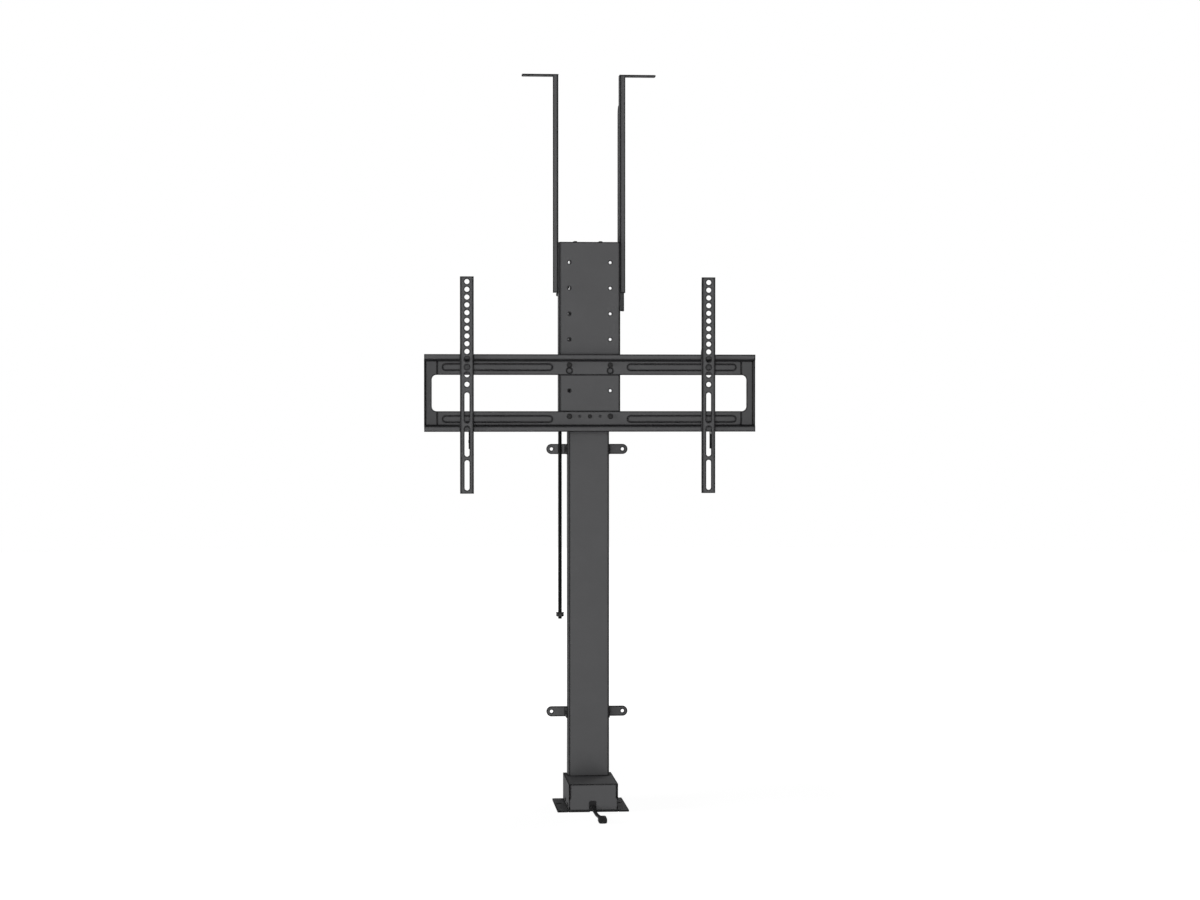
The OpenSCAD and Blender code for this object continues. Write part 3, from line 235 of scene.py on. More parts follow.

# %% [markdown]
# ## How a finish begins and ends
# Every finish here is one Principled shader over one grain. The grain drives both the roughness and
# a shallow bump, and the Bevel node softens the sharp CAD edges that the bump sits on. Two finishes
# also paint shade beside edges, so they want to know where an edge is near. There the Bevel node's
# wide normal leaves the face's own, and a Map Range node turns that into a mask from zero to one.

# %% Helpers for the finishes
def new_finish(name, **shader_values):
    """A material with one Principled shader. Returns it with its tree, shader and coordinates."""
    finish = bpy.data.materials.new(name)
    finish.use_nodes = True
    tree = finish.node_tree
    tree.nodes.clear()
    shader = add(tree, "ShaderNodeBsdfPrincipled", shader_values)
    add(tree, "ShaderNodeOutputMaterial", {"Surface": shader.outputs[0]})
    place = add(tree, "ShaderNodeTexCoord").outputs["Object"]
    return finish, tree, shader, place


def near_edge(tree, width, start, full):
    """A mask beside sharp edges. It starts and is full at those cosines between the normals."""
    wide = add(tree, "ShaderNodeBevel", {"Radius": width}, samples=6)
    flat = add(tree, "ShaderNodeNewGeometry").outputs["True Normal"]
    turn = add(tree, "ShaderNodeVectorMath", {0: wide.outputs[0], 1: flat}, operation="DOT_PRODUCT")
    return add(tree, "ShaderNodeMapRange",
               {"Value": turn.outputs["Value"], "From Min": start, "From Max": full}).outputs[0]


def end_finish(tree, shader, tone, grain, rough, softening, strength, depth):
    """Joins the tone, the roughness and a bump of that depth over softened edges to the shader."""
    gloss = add(tree, "ShaderNodeMapRange",
                {"Value": grain, "To Min": rough[0], "To Max": rough[1]})
    rounded = add(tree, "ShaderNodeBevel", {"Radius": softening}, samples=4)
    skin = add(tree, "ShaderNodeBump", {"Height": grain, "Strength": strength, "Distance": depth,
                                        "Normal": rounded.outputs[0]})
    fill(tree, shader, {"Base Color": tone, "Roughness": gloss.outputs[0],
                        "Normal": skin.outputs[0]})


print("finishes have one shader each")

# %% [markdown]
# ## Powder coat on pressed steel
# Polyester powder is sprayed on dry and baked into a matt skin with a fine orange peel, about
# 0.8 mm from crest to crest. From afar that is finer than a pixel and only breaks up the gloss. The
# photograph shows no shine on the coat, so its mirror part is turned nearly off.
# Each bend and each joint carries a thin dark line of painted shade, and three masks find them. One
# lies beside sharp edges. One lies on round bends, where the normal leaves all three axes. One lies
# in corners that air hardly reaches, which ambient occlusion finds. A second, longer occlusion paints
# shade into the coat round the foot, where the column stands close behind its cover.

# %% Powder coat: where its dark lines of painted shade run
# Painted shade: dark lines darken the coat's colour along sharp edges, on round bends and in folds.
LINE_R, LINE_COSINES = 4.2 * MM, (0.997, 0.982)  # a sharp edge's line: its reach, start and core
BEND_COSINES = (0.97, 0.84)  # a round bend's line: from the nearest axis to the normal
CREASE, CREASE_AIR = 3.0 * MM, (0.8, 0.6)  # a fold's line: its reach, and the air left there
powder_coat, tree, shader, place = new_finish("powder_coat_matt_grey",
                                              **{"Specular IOR Level": 0.03})
edge = near_edge(tree, LINE_R, *LINE_COSINES)
flat = add(tree, "ShaderNodeNewGeometry").outputs["True Normal"]
unsigned = add(tree, "ShaderNodeVectorMath", {0: flat}, operation="ABSOLUTE").outputs[0]
axes = add(tree, "ShaderNodeSeparateXYZ", {0: unsigned}).outputs
bend = add(tree, "ShaderNodeMapRange", {
    "Value": ("MAXIMUM", ("MAXIMUM", axes[0], axes[1]), axes[2]), "From Min": BEND_COSINES[0],
    "From Max": BEND_COSINES[1]})
air = add(tree, "ShaderNodeAmbientOcclusion", {"Distance": CREASE}, samples=8).outputs["AO"]
crease_shade = add(tree, "ShaderNodeMapRange",
             {"Value": air, "From Min": CREASE_AIR[0], "From Max": CREASE_AIR[1]})
line = formula(tree, ("MAXIMUM", ("MAXIMUM", edge, crease_shade.outputs[0]), bend.outputs[0]))
print("powder coat, lines:", len(tree.nodes), "nodes")

# %% Powder coat: the painted shade round the foot
NOOK, NOOK_AIR = 130 * MM, (0.7, 0.42)  # the shade's reach, and the air left there
NOOK_DEPTH = 0.75  # how much of the dark tone the deepest shade takes
FOOT_TOP = 240 * MM  # the shade fades in from this height down to half of it
air = add(tree, "ShaderNodeAmbientOcclusion", {"Distance": NOOK}, samples=8).outputs["AO"]
nook_shade = add(tree, "ShaderNodeMapRange", {"Value": air, "From Min": NOOK_AIR[0],
                                        "From Max": NOOK_AIR[1], "To Max": NOOK_DEPTH})
height = add(tree, "ShaderNodeSeparateXYZ", {0: place}).outputs[2]
low = add(tree, "ShaderNodeMapRange", {"Value": height, "From Min": FOOT_TOP,
                                       "From Max": FOOT_TOP / 2})
painted_foot_shade = formula(tree, ("MULTIPLY", nook_shade.outputs[0], low.outputs[0]))
print("powder coat, shade:", len(tree.nodes), "nodes")

# %% Powder coat: its colour and its skin
PEEL = 0.8 * MM  # orange peel, crest to crest
CLOUD = 60 * MM  # slow change of the coat's thickness
cloud = add(tree, "ShaderNodeTexNoise", {"Vector": place, "Scale": 1 / CLOUD, "Detail": 3.0})
tone = add(tree, "ShaderNodeMix", {0: cloud.outputs[0], 6: paint("#4d4d4e"), 7: paint("#535354")},
           data_type="RGBA")
# Painted shade: round the foot the colour darkens towards a near black.
tone = add(tree, "ShaderNodeMix", {0: painted_foot_shade, 6: tone.outputs[2], 7: paint("#1c1c1d")},
           data_type="RGBA")
# Painted shade: where the lines lie, the colour goes almost black.
tone = add(tree, "ShaderNodeMix", {0: line, 6: tone.outputs[2], 7: paint("#080809")},
           data_type="RGBA")
peel = add(tree, "ShaderNodeTexNoise", {"Vector": place, "Scale": 1 / PEEL, "Detail": 2.0})
end_finish(tree, shader, tone.outputs[2], peel.outputs[0], rough=(0.72, 0.86),
           softening=0.9 * MM, strength=0.35, depth=0.05 * MM)
print("powder coat:", len(tree.nodes), "nodes")

# %% [markdown]
# ## Blackened steel
# The screws, the stop rod and its nuts are steel dipped in hot black oxide. The bath leaves a thin
# film of magnetite, which is no metal: it is dull and dark, and a little browner where it took
# unevenly. Painted shade makes it blackest along the edges.

# %% Finish: black oxide
PATCH = 3 * MM  # size of the film's browner spots
EDGE_SHADE_R, EDGE_SHADE_COSINES = 2.4 * MM, (0.997, 0.98)  # the painted shade along the edges: its reach, start and core
black_oxide, tree, shader, place = new_finish("black_oxide_steel", **{"Specular IOR Level": 0.12})
film = add(tree, "ShaderNodeTexNoise", {"Vector": place, "Scale": 1 / PATCH, "Detail": 4.0})
tone = add(tree, "ShaderNodeMix", {0: film.outputs[0], 6: paint("#1d1c1c"), 7: paint("#272728")},
           data_type="RGBA")
# Painted shade: along the edges the film's colour goes almost black.
oxide_edge_shade = near_edge(tree, EDGE_SHADE_R, *EDGE_SHADE_COSINES)
tone = add(tree, "ShaderNodeMix", {0: oxide_edge_shade, 6: tone.outputs[2], 7: paint("#060606")},
           data_type="RGBA")
end_finish(tree, shader, tone.outputs[2], film.outputs[0], rough=(0.45, 0.6),
           softening=0.3 * MM, strength=0.15, depth=0.03 * MM)
print("black oxide:", len(tree.nodes), "nodes")

# %% [markdown]
# ## Moulded nylon, acetal and PVC
# The collars, the bush and the connector are black nylon from a spark-eroded mould, which prints a
# fine even grain. The glides are natural acetal, milky and slightly waxy. The lead's PVC sheath is
# drawn out of a die, so its faint ripple runs round it.

# %% Finish: the plastics
PLASTIC = {"IOR": 1.5, "Specular IOR Level": 0.1}
plastics = {}
# The name, the two tones, the roughness, the grain's size and how deep the grain is
for name, low, high, rough, grain, depth in (
        ("nylon_spark_grain", "#070708", "#0c0c0d", (0.42, 0.58), 0.35 * MM, 0.03 * MM),
        ("acetal_natural", "#cfccbf", "#dcdacf", (0.3, 0.42), 1.2 * MM, 0.01 * MM),
        ("pvc_drawn_sheath", "#070708", "#0c0c0d", (0.38, 0.5), 1.6 * MM, 0.05 * MM)):
    plastics[name], tree, shader, place = new_finish(name, **PLASTIC)
    pattern = add(tree, "ShaderNodeTexNoise", {"Vector": place, "Scale": 1 / grain, "Detail": 2.0})
    tone = add(tree, "ShaderNodeMix", {0: pattern.outputs[0], 6: paint(low), 7: paint(high)},
               data_type="RGBA")
    end_finish(tree, shader, tone.outputs[2], pattern.outputs[0], rough,
               softening=0.4 * MM, strength=0.4, depth=depth)
print("plastics:", sorted(plastics))

# %% [markdown]
# ## Ground steel, turned bronze, cast alloy and enamel
# Inside the foot and the column are the parts that run. Shafts are ground, with hair-fine rings
# round them; nuts and the worm wheel are turned from bronze; the gearbox is die cast, with a
# grainy skin; the motor's can is dipped in satin enamel. One pattern serves all: noise squeezed
# along Z draws rings, and noise left even draws cast grain.

# %% Finish: the metals
metals = {}
# The name, the two tones, how metallic it is, the roughness, the grain's size and its squeeze
for name, low, high, metal, rough, grain, squeeze in (
        ("ground_steel", "#9fa1a4", "#b9bbbe", 1.0, (0.2, 0.34), 0.5 * MM, 8.0),
        ("turned_bronze", "#94662f", "#b4853f", 1.0, (0.26, 0.4), 0.8 * MM, 6.0),
        ("die_cast_alloy", "#85878a", "#9b9da0", 0.9, (0.42, 0.6), 1.0 * MM, 1.0),
        ("satin_enamel", "#2b2c2e", "#333437", 0.0, (0.28, 0.36), 2.5 * MM, 1.0)):
    metals[name], tree, shader, place = new_finish(name, Metallic=metal)
    around = add(tree, "ShaderNodeMapping", {"Vector": place, "Scale": (1.0, 1.0, squeeze)})
    pattern = add(tree, "ShaderNodeTexNoise",
                  {"Vector": around.outputs[0], "Scale": 1 / grain / squeeze, "Detail": 3.0})
    tone = add(tree, "ShaderNodeMix", {0: pattern.outputs[0], 6: paint(low), 7: paint(high)},
               data_type="RGBA")
    end_finish(tree, shader, tone.outputs[2], pattern.outputs[0], rough,
               softening=0.3 * MM, strength=0.2, depth=0.02 * MM)
print("metals:", sorted(metals))

# %% [markdown]
# ## Dress the CAD pieces
# The record says which finish each solid takes, so the finishes are handed out by that list. The
# solids stay exactly as packed; only their material slots change.

# %% Hand out the finishes
FINISHES = {
    "powder_coated_steel": powder_coat, "blackened_fasteners": black_oxide,
    "black_nylon": plastics["nylon_spark_grain"], "glide_acetal": plastics["acetal_natural"],
    "lead_pvc": plastics["pvc_drawn_sheath"], "nut_bronze": metals["turned_bronze"],
    "ground_steel": metals["ground_steel"], "gearbox_alloy": metals["die_cast_alloy"],
    "motor_enamel": metals["satin_enamel"],
}
for part in frame["record"]["subparts"]:
    for slot in frame["nodes"][part["node"]].material_slots:
        slot.material = FINISHES[part["material_slot"]]
lead_sheath.data.materials.append(FINISHES["lead_pvc"])
connector_grip.data.materials.append(FINISHES["black_nylon"])
connector_pin.data.materials.append(black_oxide)

# %% [markdown]
# ## A grid wrapped round an axis
# Screws, nuts and threads are all turned forms: one outline carried round an axis. In Geometry
# Nodes a flat grid does this well. Its columns become angles and its rows become the outline, so a
# hexagon socket or a thread is only a radius that also depends on the angle.

# %% Helpers: a tree and its wrapped grid
AROUND = 48  # columns round a turned form
MERGE = 0.001 * MM  # points closer than this are one, as at the seam and on the axis


def new_tree(name, inputs):
    """A tree with the named inputs and a finish. Returns it and its inputs' sockets."""
    tree = bpy.data.node_groups.new(name, "GeometryNodeTree")
    tree.interface.new_socket("Geometry", in_out="INPUT", socket_type="NodeSocketGeometry")
    tree.interface.new_socket("Geometry", in_out="OUTPUT", socket_type="NodeSocketGeometry")
    for label, kind in {**inputs, "Finish": "NodeSocketMaterial"}.items():
        tree.interface.new_socket(label, in_out="INPUT", socket_type=kind)
    return tree, add(tree, "NodeGroupInput").outputs


def wrapped_grid(tree, rows, columns=AROUND):
    """A grid of so many rows and columns. Returns it, and each point's angle and row."""
    rows = formula(tree, rows)
    grid = add(tree, "GeometryNodeMeshGrid",
               {"Vertices X": ("ADD", columns, 1.0), "Vertices Y": rows})
    index = add(tree, "GeometryNodeInputIndex").outputs[0]
    # The half keeps a rounded quotient from falling into the column before.
    column = formula(tree, ("FLOOR", ("DIVIDE", ("ADD", index, 0.5), rows)))
    row = formula(tree, ("SUBTRACT", index, ("MULTIPLY", column, rows)))
    angle = formula(tree, ("MULTIPLY", ("DIVIDE", column, columns), 2 * math.pi))
    return grid.outputs[0], angle, row


def place_points(tree, grid, angle, radius, height):
    """Moves the grid's points to angle, radius and height, and closes the seam and the poles."""
    at = add(tree, "ShaderNodeCombineXYZ", {
        0: ("MULTIPLY", radius, ("COSINE", angle)), 1: ("MULTIPLY", radius, ("SINE", angle)),
        2: height})
    moved = add(tree, "GeometryNodeSetPosition", {"Geometry": grid, "Position": at.outputs[0]})
    return add(tree, "GeometryNodeMergeByDistance",
               {"Geometry": moved.outputs[0], "Distance": MERGE}).outputs[0]


print("%d columns round each turned form" % AROUND)

# %% Helpers: an outline and a hexagon
def outline(tree, row, stations):
    """The radius and the height at a row, from a list that gives both for every row."""
    picked = []
    for values in zip(*stations):
        pick = add(tree, "GeometryNodeIndexSwitch", data_type="FLOAT")
        while len(pick.index_switch_items) < len(values):
            pick.index_switch_items.new()
        fill(tree, pick, {0: row, **dict(enumerate(values, 1))})
        picked.append(pick.outputs[0])
    return picked


def hexagon(tree, angle, half_flats):
    """The radius of a hexagon at an angle."""
    sixth = math.pi / 3
    off = ("SUBTRACT", ("FLOORED_MODULO", angle, sixth), sixth / 2)
    return formula(tree, ("DIVIDE", half_flats, ("COSINE", off)))


print("an outline gives each row a radius and a height")

# %% Helpers: the end of a tree, and its run
SHARP = math.radians(30)  # faces that meet at more than this keep a sharp edge between them


def finish_tree(tree, inputs, shape):
    """Puts the shape on each point, turned to its facing, and ends the tree for the export."""
    facing = add(tree, "GeometryNodeInputNamedAttribute", {"Name": "facing"},
                 data_type="FLOAT_VECTOR")
    turn = add(tree, "FunctionNodeAlignRotationToVector", {"Vector": facing.outputs[0]}, axis="Z")
    placed = add(tree, "GeometryNodeInstanceOnPoints",
                 {"Points": inputs["Geometry"], "Instance": shape, "Rotation": turn.outputs[0]})
    real = add(tree, "GeometryNodeRealizeInstances", {0: placed.outputs[0]})
    dressed = add(tree, "GeometryNodeSetMaterial",
                  {"Geometry": real.outputs[0], "Material": inputs["Finish"]})
    add(tree, "NodeGroupOutput", {0: dressed.outputs[0]})
    print(tree.name + ":", len(tree.nodes), "nodes")


def grow(name, tree, spots, body, nodes, **sizes):
    """Runs a tree on the spots (place in mm, facing) and keeps the result as a plain mesh."""
    piece = new_piece(name, [Vector(place) * MM for place, _ in spots], [])
    facing = piece.data.attributes.new("facing", "FLOAT_VECTOR", "POINT")
    for item, (_, way) in zip(facing.data, spots):
        item.vector = way
    modifier = piece.modifiers.new("tree", "NODES")
    modifier.node_group = tree
    for socket in tree.interface.items_tree:
        if socket.in_out == "INPUT" and socket.name in sizes:
            modifier[socket.identifier] = sizes[socket.name]
    graph = bpy.context.evaluated_depsgraph_get()
    plain = bpy.data.meshes.new_from_object(piece.evaluated_get(graph), depsgraph=graph)
    piece.modifiers.clear()
    piece.data = plain
    plain.shade_smooth()
    plain.set_sharp_from_angle(angle=SHARP)
    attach(piece, body)
    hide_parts(*nodes)
    print(name + ":", len(plain.polygons), "faces")


print("edges sharper than %.0f degrees stay sharp" % math.degrees(SHARP))

# %% [markdown]
# ## Screws
# The crossbar bolts are socket caps, the top bolts are low domes, and the small sheet screws are
# pan heads with a cross recess. One tree makes them all: the head's rim is a quarter circle whose
# radius sets how domed it looks, and the recess is a hexagon or a cross.

# %% Tree: the head of a screw
FLOAT, YES_NO = "NodeSocketFloat", "NodeSocketBool"
LOW_ROWS, RIM_ROWS, TOP_ROWS = 4, 5, 3  # rows of the outline below, on and above the head's rim
screw_tree, size = new_tree("screws_on_points", {
    "Head radius": FLOAT, "Head height": FLOAT, "Rim radius": FLOAT, "Shank radius": FLOAT,
    "Shank length": FLOAT, "Recess size": FLOAT, "Recess depth": FLOAT, "Cross": YES_NO})
tree = screw_tree
grid, angle, row = wrapped_grid(tree, LOW_ROWS + RIM_ROWS + TOP_ROWS)
arc = formula(tree, ("MULTIPLY", ("SUBTRACT", row, LOW_ROWS), math.pi / 2 / (RIM_ROWS - 1)))
rim_in = ("SUBTRACT", size["Head radius"], size["Rim radius"])
rim_r = formula(tree, ("MULTIPLY_ADD", size["Rim radius"], ("COSINE", arc), rim_in))
rim_low = ("SUBTRACT", size["Head height"], size["Rim radius"])
rim_z = formula(tree, ("MULTIPLY_ADD", size["Rim radius"], ("SINE", arc), rim_low))
print("a rim of", RIM_ROWS, "rows")

# %% Tree: the recess and the outline of a screw
SLOT_WIDTH = 0.32  # a cross slot's width over its length
LEAST_SINE = 0.01  # keeps the division below from running away along a slot
across, along = ("ABSOLUTE", ("COSINE", angle)), ("ABSOLUTE", ("SINE", angle))
slot_end = ("DIVIDE", size["Recess size"], ("MAXIMUM", across, along))
slot_side = ("DIVIDE", ("MULTIPLY", size["Recess size"], SLOT_WIDTH),
             ("MAXIMUM", ("MINIMUM", across, along), LEAST_SINE))
recess = add(tree, "GeometryNodeSwitch", {
    0: size["Cross"], 1: hexagon(tree, angle, size["Recess size"]),
    2: ("MINIMUM", slot_end, slot_side)}, input_type="FLOAT").outputs[0]
tip = ("MULTIPLY", size["Shank length"], -1.0)
floor_z = ("SUBTRACT", size["Head height"], size["Recess depth"])
radius, height = outline(tree, row, [
    (0.0, tip), (size["Shank radius"], tip), (size["Shank radius"], 0.0),
    (size["Head radius"], 0.0), *[(rim_r, rim_z)] * RIM_ROWS,
    (recess, size["Head height"]), (recess, floor_z), (0.0, floor_z)])
finish_tree(tree, size, place_points(tree, grid, angle, radius, height))

# %% Kinds of screw
def screw_sizes(head_r, head_h, rim, shank_r, shank_l, recess_size, depth, is_cross=False):
    """The tree's inputs, from sizes in mm."""
    return {"Head radius": head_r * MM, "Head height": head_h * MM, "Rim radius": rim * MM,
            "Shank radius": shank_r * MM, "Shank length": shank_l * MM,
            "Recess size": recess_size * MM, "Recess depth": depth * MM, "Cross": is_cross,
            "Finish": black_oxide}


def socket_head(shank_l):
    """A small socket cap with a shank of that length in mm."""
    return screw_sizes(4.2, 3.0, 0.5, 2.5, shank_l, 1.9, 1.8)


def pan_head(shank_l):
    """A pan head with a cross recess and a shank of that length in mm."""
    return screw_sizes(3.5, 2.0, 1.2, 2.0, shank_l, 1.6, 1.0, True)


print("a pan head is %.1f mm across" % (2 * pan_head(1.0)["Head radius"] / MM))

# %% Set the screws
FRONT, UP, LEFT = (0, -1, 0), (0, 0, 1), (-1, 0, 0)
SIDES = (-1, 1)
grow("crossbar_socket_bolts", screw_tree,
     [((x, -50.5, z), FRONT) for x in (-40, 40) for z in (861, 761)],
     "carriage", ["crossbar_bolts"], **screw_sizes(4.5, 3.5, 0.5, 2.6, 6.5, 2.3, 1.6))
grow("centre_pan_screw", screw_tree, [((0, -50.5, 761), FRONT)],
     "carriage", ["centre_screw"], **pan_head(5.5))
grow("top_dome_bolts", screw_tree, [((x, 0, 1101), UP) for x in (-25, 25)],
     "carriage", ["top_bolts"], **screw_sizes(5.2, 4.5, 3.2, 2.6, 9.0, 1.9, 2.2))
grow("lid_socket_bolts", screw_tree,
     [((side * 62.5, -19.5, z), (side, 0, 0)) for side in SIDES for z in (1025, 1080)],
     "carriage", ["lid_bolts"], **socket_head(6.5))
grow("duct_pan_screws", screw_tree, [((55.5, -21, z), LEFT) for z in (994, 1054)],
     "carriage", ["duct_screws"], **pan_head(4.5))
grow("cover_pan_screws", screw_tree,
     [((side * 47.5, y, 12), (side, 0, 0)) for side in SIDES for y in (-110, -48)],
     "root", ["cover_screws"], **pan_head(4.5))
grow("column_pan_screws", screw_tree,
     [((side * 43, y, z), (side, 0, 0)) for side in SIDES for y in (16, 4) for z in (176, 696)]
     + [((-43, 10, 757), LEFT)],
     "root", ["column_screws"], **screw_sizes(4.0, 1.4, 0.9, 2.0, 4.5, 1.7, 0.8, True))
grow("gearbox_socket_bolts", screw_tree,
     [((x, y, 49), UP) for x in (-17.5, 29.5) for y in (-29, 15)],
     "root", ["gearbox_screws"], **socket_head(30.0))

# %% [markdown]
# ## Threads
# A thread is a radius that depends on height and angle together. Where height over pitch, less the
# number of starts times the angle's share of a turn, is whole, the point lies on a crest. The stop
# rod has the common M8 thread of 1.25 mm, the two lifting screws have two-start trapezoidal threads
# that climb 10 mm a turn, and the worm is one coarse start. A bore closes the hollow screw inside,
# with its two keyways; a solid shaft has no bore, so the faces on its axis vanish when merged.

# %% Tree: the winding of a thread
INT = "NodeSocketInt"
START_ROWS, END_ROWS = 3, 4  # rows of the outline before and after the thread's own
thread_tree, size = new_tree("threads_on_points", {
    "Crest radius": FLOAT, "Root radius": FLOAT, "Foot radius": FLOAT, "Head radius": FLOAT,
    "Bore radius": FLOAT, "Key depth": FLOAT, "Pitch": FLOAT, "Starts": INT, "Flank": FLOAT,
    "Foot length": FLOAT, "Thread length": FLOAT, "Head length": FLOAT,
    "Columns": INT, "Rows": INT})
tree = thread_tree
rows = ("ADD", size["Rows"], START_ROWS + END_ROWS)
grid, angle, row = wrapped_grid(tree, rows, size["Columns"])
climb = ("DIVIDE", size["Thread length"], ("SUBTRACT", size["Rows"], 1.0))
thread_row = ("SUBTRACT", row, START_ROWS)
thread_z = formula(tree, ("MULTIPLY_ADD", thread_row, climb, size["Foot length"]))
turned = ("MULTIPLY", size["Starts"], ("DIVIDE", angle, 2 * math.pi))
phase = ("SUBTRACT", ("DIVIDE", thread_z, size["Pitch"]), turned)
# The wave is 0 on a crest and 1 in the groove. A steep flank cuts it flat at both.
wave = ("MULTIPLY", ("PINGPONG", phase, 0.5), 2.0)
steep = ("MULTIPLY_ADD", ("SUBTRACT", wave, 0.5), size["Flank"], 0.5)
sunk = ("MAXIMUM", ("MINIMUM", steep, 1.0), 0.0)
depth = ("SUBTRACT", size["Crest radius"], size["Root radius"])
thread_r = formula(tree, ("SUBTRACT", size["Crest radius"], ("MULTIPLY", sunk, depth)))
print("thread winding:", len(tree.nodes), "nodes")

# %% Tree: the outline of a threaded shaft
KEY_SINE = 0.28  # sine of the angle that a keyway reaches on either side
keyway = ("LESS_THAN", ("ABSOLUTE", ("SINE", angle)), KEY_SINE)
bore = formula(tree, ("MULTIPLY_ADD", keyway, size["Key depth"], size["Bore radius"]))
thread_top = formula(tree, ("ADD", size["Foot length"], size["Thread length"]))
top = formula(tree, ("ADD", thread_top, size["Head length"]))
low_row = formula(tree, ("MINIMUM", row, START_ROWS))
low_r, low_z = outline(tree, low_row, [
    (bore, 0.0), (size["Foot radius"], 0.0), (size["Foot radius"], size["Foot length"]),
    (thread_r, thread_z)])
past = ("SUBTRACT", ("SUBTRACT", row, size["Rows"]), START_ROWS - 1)
high_row = formula(tree, ("MAXIMUM", past, 0.0))
radius, height = outline(tree, high_row, [
    (low_r, low_z), (size["Head radius"], thread_top), (size["Head radius"], top), (bore, top),
    (bore, 0.0)])
skin = place_points(tree, grid, angle, radius, height)
faces_at = add(tree, "GeometryNodeInputMeshEdgeNeighbors").outputs[0]
loose = add(tree, "FunctionNodeCompare", {2: faces_at, 3: 0}, data_type="INT", operation="EQUAL")
clean = add(tree, "GeometryNodeDeleteGeometry", {"Geometry": skin, "Selection": loose.outputs[0]},
            domain="EDGE")
finish_tree(tree, size, clean.outputs[0])

# %% Cut the threads
def thread_sizes(crest, root, foot, head, pitch, starts, flank, lengths, columns, per_pitch,
                 finish=metals["ground_steel"], bore=0.0, key=0.0):
    """The tree's inputs, from sizes in mm. The lengths are the foot's, the thread's, the head's."""
    return {"Crest radius": crest * MM, "Root radius": root * MM, "Foot radius": foot * MM,
            "Head radius": head * MM, "Bore radius": bore * MM, "Key depth": key * MM,
            "Pitch": pitch * MM, "Starts": starts, "Flank": flank,
            "Foot length": lengths[0] * MM, "Thread length": lengths[1] * MM,
            "Head length": lengths[2] * MM, "Columns": columns,
            "Rows": round(lengths[1] / pitch * per_pitch) + 1, "Finish": finish}


ROD = (-54.5, 10)  # the stop rod's axis
grow("stop_rod_m8", thread_tree, [((*ROD, 361), UP)], "carriage", ["stop_rod"],
     **thread_sizes(4.0, 3.25, 3.2, 3.2, 1.25, 1, 1.1, (0.8, 654.9, 0.8), 16, 4, black_oxide))
grow("drive_screw_two_start", thread_tree, [((0, 0, 6), UP)], "drive_screw", ["drive_screw"],
     **thread_sizes(7.0, 4.6, 5.0, 7.0, 5.0, 2, 1.8, (14, 380, 20), 32, 8))
# The hollow screw starts 0.05 mm above its thrust washer, so that the two faces don't count as cut.
grow("hollow_screw_two_start", thread_tree, [((0, 0, 212.05), UP)], "hollow_screw",
     ["hollow_screw"],
     **thread_sizes(13.0, 11.0, 11.0, 11.0, 5.0, 2, 1.8, (2, 345.9, 2), 48, 8, bore=8.5, key=1.8))
grow("worm_one_start", thread_tree, [((20, 15, 26), FRONT)], "root", ["worm_shaft"],
     **thread_sizes(5.2, 3.6, 3.0, 3.0, 3.6, 1, 1.8, (3, 24, 32), 32, 8))

# %% [markdown]
# ## Nuts and a washer
# A nut is a hexagon whose corners are turned off at thirty degrees, so its corners sink where the
# hexagon reaches out. The same outline with a round rim is a washer.

# %% Tree: nuts and washers
NUT_ROWS = 9  # rows of the outline, up the rim and back down the bore
NUT_FACE = 0.96  # the flat face's radius over half the width across flats
CORNER_SLOPE = math.tan(math.radians(30))
nut_tree, size = new_tree("nuts_on_points", {
    "Half across": FLOAT, "Height": FLOAT, "Bore radius": FLOAT, "Countersink": FLOAT,
    "Round": YES_NO})
tree = nut_tree
grid, angle, row = wrapped_grid(tree, NUT_ROWS)
rim = add(tree, "GeometryNodeSwitch", {
    0: size["Round"], 1: hexagon(tree, angle, size["Half across"]),
    2: size["Half across"]}, input_type="FLOAT").outputs[0]
face = formula(tree, ("MULTIPLY", size["Half across"], NUT_FACE))
low = formula(tree, ("MULTIPLY", ("SUBTRACT", rim, face), CORNER_SLOPE))
high = ("SUBTRACT", size["Height"], low)
mouth = ("ADD", size["Bore radius"], size["Countersink"])
bore_top = ("SUBTRACT", size["Height"], size["Countersink"])
radius, height = outline(tree, row, [
    (size["Bore radius"], size["Countersink"]), (mouth, 0.0), (face, 0.0), (rim, low), (rim, high),
    (face, size["Height"]), (mouth, size["Height"]), (size["Bore radius"], bore_top),
    (size["Bore radius"], size["Countersink"])])
finish_tree(tree, size, place_points(tree, grid, angle, radius, height))

# %% Set the nuts
def nut_sizes(half_across, height, bore, countersink, is_round=False):
    """The tree's inputs, from sizes in mm."""
    return {"Half across": half_across * MM, "Height": height * MM, "Bore radius": bore * MM,
            "Countersink": countersink * MM, "Round": is_round, "Finish": black_oxide}


grow("rod_hex_nuts", nut_tree, [((*ROD, z), UP) for z in (365.5, 997.5, 1008)],
     "carriage", ["rod_nuts"], **nut_sizes(6.5, 6.5, 4.05, 0.5))
grow("rod_washer", nut_tree, [((*ROD, 372.05), UP)],
     "carriage", [], **nut_sizes(8.0, 1.6, 4.25, 0.15, True))

# %% [markdown]
# ## The strain relief's ribs
# The bush's cone bends with the lead, so the moulder puts ribs round it. A tree strings rings along
# a line and makes each one a little smaller than the last.

